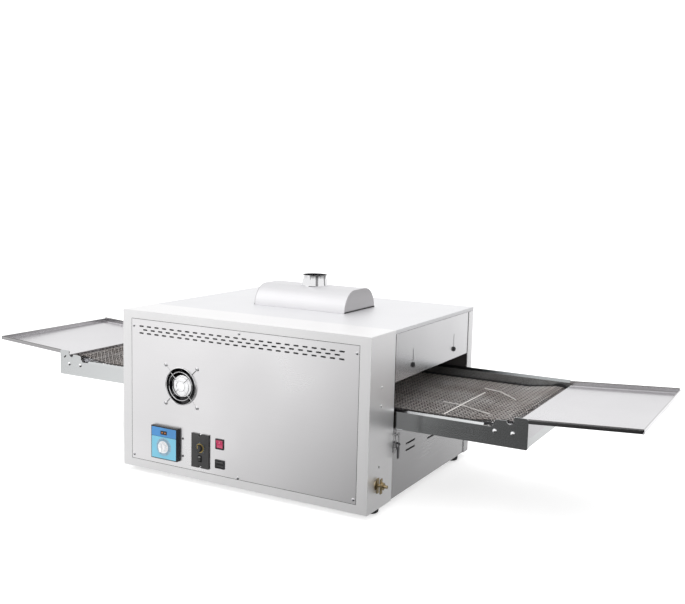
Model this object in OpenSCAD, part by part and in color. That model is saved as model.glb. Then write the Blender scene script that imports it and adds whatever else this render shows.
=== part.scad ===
// Tabletop conveyor pizza oven: a sheet-metal casing with a tunnel through it from left to right,
// a wire-mesh belt on a frame of two rails, a lift-off tray at each end, a control compartment
// along the front and an exhaust hood on top.
// Millimetres. +Z is up, +X is to the right of a person who faces the controls, -Y is the front.
// The origin is on the table, under the middle of the whole object.

/* [Casing] */
// Width of the casing, left to right
casing_w = 768; // [740:1:800]
// Depth of the casing, front to back
casing_d = 668; // [664:1:680]
// Height of the casing without its feet
casing_h = 440; // [436:1:470]
// Height of the rubber feet
foot_h = 15; // [12:1:30]
// Depth of the control compartment's wrapped sheet
control_d = 135; // [132:1:135]
// Distance of the casing's middle from the origin, to the right
casing_x = 20; // [0:1:30]
// Distance of the front face from the origin
front_reach = 325; // [320:1:332]

/* [Conveyor] */
// Half the length of the rails
rail_half = 750; // [720:1:780]
// Underside of the rails above the table
rail_z = 201; // [200:1:203]
// Top of the near rail above the table
near_rail_top = 246; // [244:1:248]
// Top of the far rail above the table
far_rail_top = 279; // [276:1:279]
// Width of the mesh belt
belt_w = 444; // [400:1:444]
// Outer radius of the belt's end wheels
wheel_r = 20; // [18:0.5:20]

/* [Gates and trays] */
// Height of the gap between table and gate's lower edge
gate_z = 322; // [321:1:326]
// Distance that a gate can be lowered
gate_travel = 38; // [10:1:38]
// Length of a tray outside the rails' cross plate
tray_l = 296; // [250:1:320]
// Rise of a tray from its inner to its outer edge
tray_rise = 18; // [5:1:25]

/* [Hood] */
// Length of the exhaust hood
hood_l = 296; // [280:1:320]
// Width of the exhaust hood, front to back
hood_w = 180; // [170:1:200]
// Height of the exhaust hood
hood_h = 60; // [55:1:60]

/* [Hidden] */
$fn = 64;
sheet = 1.5;               // thickness of the casing's sheets
thin = 1.2;                // thickness of the liner and hood
slack = 0.5;               // gap between neighbouring sheets
run_gap = 0.05;            // radial clearance of a running fit
end = 0.01;                // overshoot of a cut past its face

z0 = foot_h;
z1 = foot_h + casing_h;
y_front = -front_reach;
y_back = y_front + casing_d;
x_left = casing_x - casing_w / 2;
x_right = casing_x + casing_w / 2;
shell_back = y_front + control_d;

// Front panel, set in the control shell's front opening
frame_side = 30;
frame_low = 23;
frame_high = 22;
panel_x0 = x_left + frame_side;
panel_x1 = x_right - frame_side;
panel_z0 = z0 + frame_low;
panel_z1 = z1 - frame_high;
panel_gap = 1.2;

// Tunnel and its openings in the side panels
liner_y0 = y_front + 134;
liner_y1 = y_front + 634.2;
liner_z0 = 162;
liner_z1 = 362;
door_y0 = liner_y0;
door_y1 = y_front + 632;
door_z0 = rail_z;
door_z1 = 330;
bulkhead_y = y_front + 102;

// Conveyor lines, all measured from the front face
rail_t = 2;
near_y = y_front + 144;
far_y = y_front + 627;
block_t = 10;
chain_y = y_front + 165;
belt_y0 = y_front + 173;
belt_y1 = belt_y0 + belt_w;
shaft_x = rail_half - 60;
shaft_z = 236;
shaft_r = 6;
belt_t = 2.4;
belt_r = wheel_r + 0.3 + belt_t / 2;
belt_run_z = 246;          // centre of the belt's upper run between the wheels
bolt_pitch = 45;

// Chain drive from the gear motor to the right-hand shaft
chain_pitch = 6.35;
chain_teeth = 12;
chain_r = chain_pitch / 2 / sin(180 / chain_teeth);
motor_x = 300;
motor_z = 222;

// Control positions on the front panel
fan_x = casing_x - 182.6;
fan_z = 263.5;
fan_size = 120;
fan_hole_pitch = 105;
dial_x = casing_x - 233;
dial_z = 100.5;
dial_w = 89;
dial_h = 91;
dial_proud = 10;
knob_z = dial_z - 10;
knob_reach = 27;         // front of the temperature knob, proud of the front face
speed_x = casing_x - 116.5;
speed_z = 96.5;
speed_w = 57;
speed_h = 93;
power_x = casing_x - 54.5;
power_z = 124.5;
heater_x = casing_x - 53.5;
heater_z = 70;

hood_x = casing_x - 4;
hood_y = y_front + 391;
chimney_r0 = 38.5;
chimney_r1 = 36;
chimney_h = 31;
collar_h = 9;
flue_r = 30;

latch_y = y_front + 146;
latch_z = 160;
latch_reach = 9;
pin_r = 1.5;

// An arc of points in the plane, from angle a0 to a1
function arc(cx, cz, r, a0, a1, n) =
    [for (i = [0:n]) let (a = a0 + (a1 - a0) * i / n) [cx + r * cos(a), cz + r * sin(a)]];

// The points of an outline and of its mirror image across the vertical axis
function both_ends(p) =
    concat(p, [for (i = [len(p) - 1:-1:0]) [-p[i][0], p[i][1]]]);

// A block given by two corners
module block(a, b) {
    translate(a) cube(b - a);
}

// A round bar along X, Y or Z from a point
module bar_x(p, r, l) { translate(p) rotate([0, 90, 0]) cylinder(r = r, h = l); }
module bar_y(p, r, l) { translate(p) rotate([-90, 0, 0]) cylinder(r = r, h = l); }
module bar_z(p, r, l) { translate(p) cylinder(r = r, h = l); }

// An outline in X and Z, pushed back along Y
module plate_y(points, y, t) {
    translate([0, y + t, 0]) rotate([90, 0, 0]) linear_extrude(t) polygon(points);
}

// An outline in Y and Z, pushed along X
module plate_x(points, x, t) {
    translate([x, 0, 0]) rotate([90, 0, 90]) linear_extrude(t) polygon(points);
}

// A pan-head screw with its head's underside at a point, facing -Y
module screw_front(p, head_r, head_t, shank_r, shank_l) {
    bar_y(p - [0, head_t, 0], head_r, head_t);
    bar_y(p, shank_r, shank_l);
}

// A slot with round ends along X, cut through a sheet that faces Y
module slot_x(p, l, w, t) {
    r = w / 2;
    for (s = [-1, 1]) bar_y(p + [s * (l / 2 - r), 0, 0], r, t);
    block(p + [r - l / 2, 0, -r], p + [l / 2 - r, t, r]);
}

// Places its children at the left and the right end of the conveyor
module each_end() {
    children();
    mirror([1, 0, 0]) children();
}

/* Casing */

module base_pan() {
    color("gainsboro") {
        block([x_left + 3.5, shell_back + 1, z0], [x_right - 3.5, y_back - 2, z0 + sheet]);
        for (x = [x_left + 3.5, x_right - 3.5 - sheet])
            block([x, shell_back + 1, z0], [x + sheet, y_back - 2, z0 + 18]);
    }
}

foot_r = 20;
foot_inset_x = 25;
foot_inset_y = 71;

module feet() {
    color("black")
    for (x = [x_left + foot_inset_x, x_right - foot_inset_x])
        for (y = [y_front + foot_inset_y, y_back - foot_inset_y])
            translate([x, y, 0]) rotate_extrude()
                polygon(concat([[0, 0]], arc(foot_r - 5, 5, 5, -90, 0, 6),
                    [[foot_r, foot_h], [0, foot_h]]));
}

module control_shell() {
    lip = 10;
    color("gainsboro") difference() {
        block([x_left, y_front, z0], [x_right, shell_back, z1]);
        block([x_left + sheet, y_front + 2 * sheet, z0 + sheet],
            [x_right - sheet, shell_back + end, z1 - sheet]);
        block([panel_x0, y_front - end, panel_z0], [panel_x1, y_front + sheet, panel_z1]);
        block([panel_x0 + lip, y_front, panel_z0 + lip], [panel_x1 - lip, y_front + 4, panel_z1 - lip]);
        for (p = panel_screw_points) bar_y([p[0], y_front, p[1]], 1.6, 5);
        bar_x([x_right - 3, y_front + 60, 123], 3, 4);
        bar_x([x_right - 3, earth_y, earth_z], 4.2, 4);
    }
}

panel_screw_points = [
    [panel_x0 + 8, panel_z1 - 20], [casing_x + 3, panel_z1 - 8], [panel_x1 - 8, panel_z1 - 20],
    [panel_x0 + 8, panel_z0 + 12], [casing_x + 4, panel_z0 + 5], [panel_x1 - 8, panel_z0 + 12]
];

// Three staggered rows of vent slots below the panel's top edge
module vent_slots() {
    pitch = 26;
    slot_l = 15;
    slot_w = 4;
    first_x = casing_x - 319;
    for (row = [0:2])
        for (i = [0:24 - row % 2])
            slot_x([first_x + i * pitch + (row % 2) * pitch / 2, y_front - 1, panel_z1 - 20 - row * 9.5],
                slot_l, slot_w, 4);
}

module front_panel() {
    g = panel_gap;
    color("whitesmoke") difference() {
        block([panel_x0 + g, y_front, panel_z0 + g], [panel_x1 - g, y_front + sheet, panel_z1 - g]);
        vent_slots();
        bar_y([fan_x, y_front - 1, fan_z], 50, 4);
        for (sx = [-1, 1], sz = [-1, 1])
            bar_y([fan_x + sx * fan_hole_pitch / 2, y_front - 1, fan_z + sz * fan_hole_pitch / 2], 2.2, 4);
        block([dial_x - 36, y_front - 1, dial_z - 36], [dial_x + 36, y_front + 3, dial_z + 36]);
        block([speed_x - 22, y_front - 1, speed_z - 34], [speed_x + 22, y_front + 3, speed_z + 34]);
        block([power_x - 11, y_front - 1, power_z - 12], [power_x + 11, y_front + 3, power_z + 12]);
        block([heater_x - 13, y_front - 1, heater_z - 9.5], [heater_x + 13, y_front + 3, heater_z + 9.5]);
        for (p = panel_screw_points) bar_y([p[0], y_front - 1, p[1]], 2.1, 4);
        for (p = control_screw_points) bar_y([p[0], y_front - 1, p[1]], 1.6, 4);
    }
}

module panel_screws() {
    color("silver")
    for (p = panel_screw_points) screw_front([p[0], y_front, p[1]], 4, 2, 1.6, 7);
}

module bulkhead() {
    color("silver") difference() {
        block([x_left + 2, bulkhead_y, z0 + 2], [x_right - 2, bulkhead_y + sheet, z1 - 2]);
        bar_y([motor_x, bulkhead_y - 1, motor_z], 12, 5);
        bar_y([x_left + 60, bulkhead_y - 1, 60], 10, 5);
    }
}

// Side panel of the body, with the tunnel's opening and two rows of vent slots; x is its inner face
side_slot_z = [143, 125];
side_slot_y = [y_front + 247, y_front + 385, y_front + 523];

module side_panel(x) {
    color("gainsboro") difference() {
        block([x, shell_back - 20, z0 + 2], [x + sheet, y_back - 2, z1 - 2]);
        block([x - 1, door_y0, door_z0], [x + 3, door_y1, door_z1]);
        for (y = side_slot_y, z = side_slot_z)
            block([x - 1, y - 28, z - 2.5], [x + 3, y + 28, z + 2.5]);
        for (y = gate_screw_y) bar_x([x - 1, y, gate_screw_z], gate_slot_r, 4);
    }
}
module side_panel_left() { side_panel(x_left + sheet); }
module side_panel_right() { side_panel(x_right - 2 * sheet); }

module back_panel() {
    flange = 36;
    color("gainsboro") difference() {
        union() {
            block([x_left, y_back - sheet, z0], [x_right, y_back, z1 - 11]);
            for (x = [x_left, x_right - sheet])
                block([x, y_back - flange, z0], [x + sheet, y_back - end, z1 - 11]);
        }
        for (i = [0:11]) slot_x([x_left + 120 + i * 26, y_back - 3, 90], 16, 5, 6);
        bar_y([gland_x, y_back - 3, gland_z], gland_r + 0.2, 6);
    }
}

module top_cover() {
    flange = 10;
    color("gainsboro") difference() {
        union() {
            block([x_left, shell_back + slack, z1 - sheet], [x_right, y_back, z1]);
            for (x = [x_left, x_right - sheet])
                block([x, shell_back + slack, z1 - flange], [x + sheet, y_back, z1]);
            block([x_left, y_back - sheet, z1 - flange], [x_right, y_back, z1]);
        }
        bar_z([hood_x, hood_y, z1 - 5], flue_r + 0.5, 10);
    }
}

/* Baking chamber */

module chamber_liner() {
    x0 = x_left + 4;
    x1 = x_right - 4;
    color("dimgray") difference() {
        block([x0, liner_y0, liner_z0], [x1, liner_y1, liner_z1]);
        block([x0 - 1, liner_y0 + thin, liner_z0 + thin], [x1 + 1, liner_y1 - thin, liner_z1 - thin]);
        bar_y([motor_x, liner_y0 - 1, motor_z], 9, 4);
        bar_z([hood_x, hood_y, liner_z1 - 5], flue_r + 0.5, 8);
        for (x = element_x, z = element_z, y = [liner_y0, liner_y1])
            bar_y([x, y - 3, z], 5.2, 6);
    }
}

module insulation() {
    x0 = x_left + 6;
    x1 = x_right - 6;
    y0 = bulkhead_y + sheet + 0.3;
    y1 = y_back - 3;
    color("wheat") {
        difference() {
            block([x0, y0, liner_z1 + 0.5], [x1, y1, z1 - 4]);
            bar_z([hood_x, hood_y, liner_z1], flue_r + 1, 200);
        }
        difference() {
            block([x0, shell_back + 5, z0 + 22], [x1, y1, liner_z0 - 0.5]);
            bar_y([gland_x, y_back - 40, gland_z], 20, 50);
        }
        difference() {
            block([x0, y0, z0 + 4], [x1, liner_y0 - 0.5, liner_z1]);
            bar_y([motor_x, y0 - 5, motor_z], 14, 60);
            for (x = element_x, z = element_z) bar_y([x, liner_y0 - 12, z], 9, 16);
        }
        difference() {
            block([x0, liner_y1 + 0.5, liner_z0], [x1, y1, liner_z1]);
            for (x = element_x, z = element_z) bar_y([x, liner_y1 - 4, z], 9, 16);
        }
    }
}

element_x = [for (i = [-3:3]) casing_x + i * 100];
element_z = [176, 346];
element_r = 4;

module heating_elements() {
    color("sienna")
    for (x = element_x, z = element_z)
        bar_y([x, liner_y0 - 6, z], element_r, liner_y1 - liner_y0 + 12);
}

module element_holders() {
    color("ivory")
    for (x = element_x, z = element_z, y = [liner_y0 - 8, liner_y1 + 0.3])
        difference() {
            bar_y([x, y, z], 8, 7.5);
            bar_y([x, y - 1, z], element_r, 10);
        }
}

probe_z = 332;

module temperature_probe() {
    color("silver") {
        bar_y([casing_x + 150, liner_y0 + 2, probe_z], 2.4, 110);
        bar_y([casing_x + 150, liner_y0 + thin + 0.2, probe_z], 6, 3);
    }
}

module flue_tube() {
    color("silver") difference() {
        bar_z([hood_x, hood_y, liner_z1 - 1], flue_r, z1 - liner_z1 + 3);
        bar_z([hood_x, hood_y, liner_z1 - 2], flue_r - thin, z1 - liner_z1 + 6);
    }
}

/* Exhaust */

// Outline of the hood in Y and Z, smaller by inset
module hood_profile(inset) {
    r = hood_h - inset;
    n = 24;
    flat = hood_w / 2 - hood_h;
    translate([hood_y, z1]) polygon(concat(
        arc(flat, 0, r, 0, 90, n), arc(-flat, 0, r, 90, 180, n)));
}

// The hood's volume, inset all round and longer by extra at both ends
module hood_solid(inset, extra) {
    translate([hood_x - hood_l / 2 - extra, 0, 0]) rotate([90, 0, 90])
        linear_extrude(hood_l + 2 * extra) hood_profile(inset);
}

module exhaust_hood() {
    x0 = hood_x - hood_l / 2;
    foot_w = 7;
    color("white") difference() {
        union() {
            hood_solid(0, 0);
            for (s = [-1, 1])
                block([x0, hood_y + s * (hood_w / 2 + foot_w / 2 - 1) - foot_w / 2, z1],
                    [x0 + hood_l, hood_y + s * (hood_w / 2 + foot_w / 2 - 1) + foot_w / 2, z1 + thin]);
        }
        hood_solid(thin, 1);
        bar_z([hood_x, hood_y, z1 + 30], chimney_r0 - 3, 60);
    }
}

module hood_end_caps() {
    color("darkgray")
    for (x = [hood_x - hood_l / 2 - sheet, hood_x + hood_l / 2])
        translate([x, 0, 0]) rotate([90, 0, 90]) linear_extrude(sheet) hood_profile(0);
}

module chimney() {
    z = z1 + hood_h;
    color("silver") difference() {
        union() {
            bar_z([hood_x, hood_y, z - 4], chimney_r0 + 3, 4 + thin);
            translate([hood_x, hood_y, z])
                cylinder(r1 = chimney_r0, r2 = chimney_r1, h = chimney_h - collar_h);
            bar_z([hood_x, hood_y, z], chimney_r1, chimney_h);
        }
        hood_solid(0, 0);
        translate([hood_x, hood_y, z - end])
            cylinder(r1 = chimney_r0 - thin, r2 = chimney_r1 - thin, h = chimney_h - collar_h);
        bar_z([hood_x, hood_y, z - 5], chimney_r1 - thin, chimney_h + 6);
    }
}

/* Cooling fan */

fan_y = y_front + sheet + 0.2;
fan_depth = 38;

module fan_housing() {
    half = fan_size / 2;
    color("darkslategray") difference() {
        block([fan_x - half, fan_y, fan_z - half], [fan_x + half, fan_y + fan_depth, fan_z + half]);
        bar_y([fan_x, fan_y - 1, fan_z], half - 3, fan_depth - 3);
        difference() {
            bar_y([fan_x, fan_y - 1, fan_z], half - 3, fan_depth + 2);
            bar_y([fan_x, fan_y + fan_depth - 5, fan_z], 32, 6);
            for (a = [45, 135])
                translate([fan_x, 0, fan_z]) rotate([0, a, 0])
                    block([-half, fan_y + fan_depth - 4, -3], [half, fan_y + fan_depth, 3]);
        }
        for (sx = [-1, 1], sz = [-1, 1])
            bar_y([fan_x + sx * fan_hole_pitch / 2, fan_y - 1, fan_z + sz * fan_hole_pitch / 2], 2.2, 50);
        bar_y([fan_x, fan_y + 30, fan_z], 2 + run_gap, 20);
    }
}

module fan_rotor() {
    blades = 7;
    hub_r = 30;
    color("silver") {
        bar_y([fan_x, fan_y + 3, fan_z], hub_r, 27);
        bar_y([fan_x, fan_y + 28, fan_z], 2, 8);
        for (i = [0:blades - 1])
            translate([fan_x, fan_y + 16, fan_z]) rotate([0, i * 360 / blades, 0])
                translate([hub_r - 2, 0, 0]) rotate([38, 0, 0])
                    block([0, -1, -14], [56 - hub_r, 1, 14]);
    }
}

module fan_guard() {
    wire = 1.6;
    y = y_front - 3.5;
    color("silver") {
        for (r = [14, 27, 39, 50])
            translate([fan_x, y, fan_z]) rotate([90, 0, 0])
                rotate_extrude() translate([r, 0]) circle(r = wire, $fn = 16);
        translate([fan_x, y, fan_z])
            for (a = [45, 135, 225, 315]) rotate([0, a, 0])
                bar_x([12, 1.4, 0], wire, fan_hole_pitch / sqrt(2) - 16);
        for (sx = [-1, 1], sz = [-1, 1])
            bar_y([fan_x + sx * fan_hole_pitch / 2, y_front - 4, fan_z + sz * fan_hole_pitch / 2], 5, 4);
    }
}

/* Controls */

module controller_case() {
    bezel_w = dial_w / 2;
    color("black") difference() {
        union() {
            block([dial_x - bezel_w, y_front - dial_proud, dial_z - dial_h / 2],
                [dial_x + bezel_w, y_front, dial_z + dial_h / 2]);
            block([dial_x - 35, y_front - 1, dial_z - 35], [dial_x + 35, y_front + 55, dial_z + 35]);
        }
        bar_y([dial_x, y_front - dial_proud - 1, knob_z], 3 + run_gap, 30);
    }
}

module controller_face() {
    half = dial_w / 2 - 1.5;
    color("skyblue") difference() {
        block([dial_x - half, y_front - dial_proud - 1.5, dial_z - dial_h / 2 + 1.5],
            [dial_x + half, y_front - dial_proud, dial_z + dial_h / 2 - 1.5]);
        bar_y([dial_x, y_front - dial_proud - 3, knob_z], 4, 5);
    }
}

module temperature_knob() {
    y = y_front - dial_proud - 1.5;
    grip_y = y_front - knob_reach;
    color("white") {
        bar_y([dial_x, y - 4, knob_z], 17, 3.5);
        bar_y([dial_x, y - 11, knob_z], 12, 8);
        block([dial_x - 3.5, grip_y, knob_z - 11], [dial_x + 3.5, y - 9, knob_z + 11]);
        bar_y([dial_x, y - 2, knob_z], 3, 22);
    }
}

module speed_plate() {
    t = 4;
    color([0.17, 0.17, 0.18]) difference() {
        union() {
            block([speed_x - speed_w / 2, y_front - t, speed_z - speed_h / 2],
                [speed_x + speed_w / 2, y_front, speed_z + speed_h / 2]);
            block([speed_x - 21, y_front - 1, speed_z - 33], [speed_x + 21, y_front + 45, speed_z + 33]);
        }
        for (s = [-1, 1])
            block([speed_x - 4, y_front - t - 1, speed_z + s * speed_h / 2 - 6],
                [speed_x + 4, y_front + 1, speed_z + s * speed_h / 2 + 6]);
        bar_y([speed_x, y_front - t - 1, speed_z + 8], 3 + run_gap, 20);
        block([speed_x - 6, y_front - t - 1, speed_z - 30], [speed_x + 6, y_front + 10, speed_z - 12]);
    }
}

module speed_knob() {
    y = y_front - 4;
    color([0.08, 0.08, 0.08]) {
        bar_y([speed_x, y - 11, speed_z + 8], 10, 10.5);
        bar_y([speed_x, y - 14, speed_z + 8], 3, 26);
        block([speed_x - 1, y - 12, speed_z + 8], [speed_x + 1, y - 1, speed_z + 20]);
    }
}

// Rockers and the toggle tilt about a pin along X, just inside the panel
module run_toggle() {
    y = y_front - 4;
    z = speed_z - 21;
    color([0.06, 0.06, 0.06]) {
        bar_x([speed_x - 5, y + 5, z], 2.5, 10);
        block([speed_x - 4, y - 3.5, z - 6.5], [speed_x + 4, y + 4, z + 6.5]);
    }
}

control_screw_points = [
    [dial_x + dial_w / 2 + 12, dial_z + 20], [dial_x + dial_w / 2 + 12, dial_z - 28],
    [speed_x, speed_z + speed_h / 2 - 2.5], [speed_x, speed_z - speed_h / 2 + 2.5]
];

module control_screws() {
    color("silver")
    for (p = control_screw_points) screw_front([p[0], y_front, p[1]], 3, 2, 1.6, 6);
}

module rocker_bezel(x, z, w, h) {
    rim = 2.5;
    wall = 2;
    inner = rim + wall;
    color("black") difference() {
        union() {
            block([x - w / 2, y_front - rim, z - h / 2], [x + w / 2, y_front, z + h / 2]);
            block([x - w / 2 + rim, y_front - 1, z - h / 2 + rim],
                [x + w / 2 - rim, y_front + 24, z + h / 2 - rim]);
        }
        block([x - w / 2 + inner, y_front - 3, z - h / 2 + inner],
            [x + w / 2 - inner, y_front + 14, z + h / 2 - inner]);
    }
}

// A rocker whose rest position is off, so that its upper half stands proud
module rocker(x, z, w, h) {
    half_w = w / 2 - 5.2;
    half_h = h / 2 - 6.2;
    bar_x([x - half_w, y_front + 3, z], 2.5, 2 * half_w);
    plate_x([[y_front + 3, z - half_h + 2], [y_front + 3, z + half_h - 2],
        [y_front - 4.5, z + half_h], [y_front - 3, z + half_h / 3],
        [y_front - 1, z - half_h]], x - half_w, 2 * half_w);
}

module power_bezel() { rocker_bezel(power_x, power_z, 27, 29); }
module power_rocker() { color("crimson") rocker(power_x, power_z, 27, 29); }
module heater_bezel() { rocker_bezel(heater_x, heater_z, 31, 24); }
module heater_rocker() { color([0.1, 0.12, 0.12]) rocker(heater_x, heater_z, 31, 24); }

module contactor() {
    color("lightgray") {
        block([casing_x + 120, bulkhead_y - 70, 120], [casing_x + 165, bulkhead_y, 200]);
        block([casing_x + 126, bulkhead_y - 80, 135], [casing_x + 159, bulkhead_y - 70, 185]);
    }
}

/* Belt drive */

gearbox_l = 32;

module gearbox() {
    color("darkgray") difference() {
        block([motor_x - 32, bulkhead_y - gearbox_l, motor_z - 50],
            [motor_x + 32, bulkhead_y, motor_z + 20]);
        bar_y([motor_x, bulkhead_y - 20, motor_z], 5 + run_gap, 21);
    }
}

module drive_motor() {
    y = bulkhead_y - gearbox_l;
    color("dimgray") {
        bar_y([motor_x, y - 60, motor_z - 18], 30, 60);
        bar_y([motor_x, y - 66, motor_z - 18], 14, 6);
    }
}

// A toothed disc on an axis along Y, centred on the origin
module toothed(r, teeth, depth, t) {
    difference() {
        translate([0, -t / 2, 0]) rotate([-90, 0, 0]) cylinder(r = r, h = t);
        for (i = [0:teeth - 1]) rotate([0, i * 360 / teeth, 0])
            translate([r + depth * 0.2, -t, 0]) rotate([-90, 0, 0])
                cylinder(r = depth, h = 2 * t, $fn = 24);
    }
}

module chain_wheel(x, z) {
    translate([x, chain_y, z]) {
        toothed(chain_r + 1.2, chain_teeth, 1.7, 2.6);
        translate([0, -5.5, 0]) rotate([-90, 0, 0]) cylinder(r = 7.5, h = 9);
    }
}

module motor_sprocket() {
    color("gray") {
        chain_wheel(motor_x, motor_z);
        bar_y([motor_x, bulkhead_y - 18, motor_z], 5, chain_y - bulkhead_y + 20);
    }
}

// The chain: a band of side plates on either side of the sprockets, and rollers on the straight runs
module chain_outline(grow) {
    a = atan2(shaft_z - motor_z, shaft_x - motor_x);
    polygon(concat(
        arc(motor_x, motor_z, chain_r + grow, a + 90, a + 270, 16),
        arc(shaft_x, shaft_z, chain_r + grow, a - 90, a + 90, 16)));
}

module drive_chain() {
    a = atan2(shaft_z - motor_z, shaft_x - motor_x);
    l = norm([shaft_x - motor_x, shaft_z - motor_z]);
    plate_h = 2.7;
    roller_step = 2 * chain_pitch;
    color("dimgray") {
        for (y = [chain_y - 3.2, chain_y + 2])
            translate([0, y + 1.2, 0]) rotate([90, 0, 0]) linear_extrude(1.2) difference() {
                chain_outline(plate_h);
                chain_outline(-plate_h);
            }
        translate([motor_x, chain_y, motor_z]) rotate([0, -a, 0])
            for (s = [-1, 1], i = [1:floor(l / roller_step) - 1])
                bar_y([i * roller_step, -3, s * chain_r], 1.65, 6);
    }
}

/* Conveyor frame */

tab_l = 36;
ear_top = 277;
plateau_top = 265;
ear_curve = 9.5;

// Right half of the near rail's outline: a low rail, an S-curve, a plateau, a dip and a raised ear
near_half = concat(
    [[0, rail_z]],
    arc(rail_half - 4, rail_z + 4, 4, -90, 0, 4),
    arc(rail_half - 6, ear_top - 6, 6, 0, 90, 6),
    arc(rail_half - tab_l + 4, ear_top - 4, 4, 90, 180, 4),
    arc(rail_half - tab_l - 9, plateau_top + 1, 9, 0, -180, 10),
    arc(rail_half - 76, plateau_top - ear_curve, ear_curve, 90, 180, 8),
    arc(rail_half - 76 - 2 * ear_curve, near_rail_top + ear_curve, ear_curve, 0, -90, 8),
    [[0, near_rail_top]]);

module near_rail() {
    guide_half = rail_half - 112;
    color("lightslategray") difference() {
        union() {
            plate_y(both_ends(near_half), near_y, rail_t);
            block([-rail_half + 3, near_y, rail_z], [rail_half - 3, near_y + 22, rail_z + rail_t]);
            plate_x([[near_y, near_rail_top - 1], [near_y + rail_t, near_rail_top - 1],
                [near_y + 7.4, near_rail_top + 3.2], [near_y + 6.6, near_rail_top + 4.6]],
                -guide_half, 2 * guide_half);
        }
        each_end() for (s = [-1, 1])
            bar_y([shaft_x + s * bolt_pitch / 2, near_y - 1, shaft_z], 3.1, 4);
        mirror([1, 0, 0])
            translate([rail_half - 20, near_y - 1, 257]) rotate([0, 40, 0])
                slot_x([0, 0, 0], 12, 4, 4);
        bar_y([motor_x, near_y - 1, motor_z], 9, 4);
    }
}

// Right half of the far rail's outline: straight on top, with one large round corner
far_half = concat(
    [[0, rail_z]],
    arc(rail_half - 8, rail_z + 4, 4, -90, 0, 4),
    arc(rail_half - 4 - 26, far_rail_top - 8 - 26, 26, 0, 90, 10),
    [[0, far_rail_top - 8]]);

module far_rail() {
    top_half = rail_half - 34;
    color("lightslategray") difference() {
        union() {
            plate_y(both_ends(far_half), far_y, rail_t);
            block([-rail_half + 3, far_y - 3, rail_z], [rail_half - 3, far_y + rail_t, rail_z + rail_t]);
            plate_x([[far_y, far_rail_top - 9], [far_y + rail_t, far_rail_top - 9],
                [far_y + rail_t + 1.5, far_rail_top], [far_y + 1.5, far_rail_top]],
                -top_half, 2 * top_half);
        }
        each_end() for (s = [-1, 1])
            bar_y([shaft_x + s * bolt_pitch / 2, far_y - 1, shaft_z], 3.1, 4);
    }
}

module end_plates() {
    color("lightgray") each_end()
        block([rail_half - 3 - rail_t, near_y + rail_t + 0.2, rail_z + rail_t + 0.2],
            [rail_half - 3, far_y - 0.2, 263.2]);
}

slide_y = [belt_y0 + 60, belt_y0 + 170, belt_y0 + 280, belt_y0 + 390];
tie_x = [110, 250, 560];
hook_rod_x = rail_half - 27;
hook_rod_z = 259;
hook_rod_r = 3;

module cross_members() {
    color("silver") {
        each_end() for (x = tie_x)
            bar_y([x, near_y + rail_t, 229], 5, far_y - near_y - rail_t);
        for (y = slide_y)
            block([-rail_half + 125, y - 4, 233], [rail_half - 125, y + 4, 243.5]);
        each_end() bar_y([hook_rod_x, near_y + rail_t, hook_rod_z], hook_rod_r, far_y - near_y - rail_t);
    }
}

module bearing_blocks() {
    color("black") each_end() {
        difference() {
            block([shaft_x - 32, near_y + rail_t, shaft_z - 15],
                [shaft_x + 32, near_y + rail_t + block_t, shaft_z + 13]);
            bar_y([shaft_x, near_y, shaft_z], shaft_r + run_gap, 20);
            for (s = [-1, 1]) bar_y([shaft_x + s * bolt_pitch / 2, near_y, shaft_z], 3.1, 20);
        }
        difference() {
            union() {
                bar_y([shaft_x, far_y - 8, shaft_z], 32, 8);
                block([shaft_x - 32, far_y - 8, shaft_z - 20], [shaft_x + 32, far_y, shaft_z]);
            }
            block([shaft_x - 40, far_y - 10, rail_z - 10], [shaft_x + 40, far_y + 1, shaft_z - 20]);
            bar_y([shaft_x, far_y - 10, shaft_z], shaft_r + run_gap, 20);
            for (s = [-1, 1]) bar_y([shaft_x + s * bolt_pitch / 2, far_y - 10, shaft_z], 3.1, 20);
        }
    }
}

module rail_bolts() {
    color("silver") each_end() for (s = [-1, 1]) {
        x = shaft_x + s * bolt_pitch / 2;
        bar_y([x, near_y - 4, shaft_z], 5.5, 4);
        bar_y([x, near_y - end, shaft_z], 3, rail_t + block_t);
        bar_y([x, far_y + rail_t, shaft_z], 5.5, 4);
        bar_y([x, far_y - 8, shaft_z], 3, rail_t + 8 + end);
    }
}

wheel_y = [for (i = [0:4]) belt_y0 + 20 + i * (belt_w - 40) / 4];

module shaft(x) {
    bar_y([x, near_y + rail_t + 0.5, shaft_z], shaft_r, far_y - near_y - rail_t - 1);
}

module wheels(x) {
    for (y = wheel_y) translate([x, y, shaft_z]) difference() {
        union() {
            toothed(wheel_r, 14, 1.6, 8);
            translate([0, -9, 0]) rotate([-90, 0, 0]) cylinder(r = 11, h = 18);
        }
        translate([0, -20, 0]) rotate([-90, 0, 0]) cylinder(r = shaft_r, h = 40);
    }
}

module drive_shaft() { color("silver") shaft(shaft_x); }
module drive_wheels() { color("gray") wheels(shaft_x); }
module driven_sprocket() {
    color("gray") difference() {
        chain_wheel(shaft_x, shaft_z);
        bar_y([shaft_x, chain_y - 20, shaft_z], shaft_r, 40);
    }
}
module idler_shaft() { color("silver") shaft(-shaft_x); }
module idler_wheels() { color("gray") wheels(-shaft_x); }

// Right half of the belt's loop, grown by g from its centre line
run_x = 600;
function belt_half(g) = concat(
    [[0, shaft_z - belt_r - g]],
    arc(shaft_x, shaft_z, belt_r + g, -90, 97, 24),
    [[run_x, belt_run_z + g], [0, belt_run_z + g]]);

module mesh_belt() {
    color("rosybrown") translate([0, belt_y1, 0]) rotate([90, 0, 0]) linear_extrude(belt_w) difference() {
        polygon(both_ends(belt_half(belt_t / 2)));
        polygon(both_ends(belt_half(-belt_t / 2)));
    }
}

/* Trays */

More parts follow.
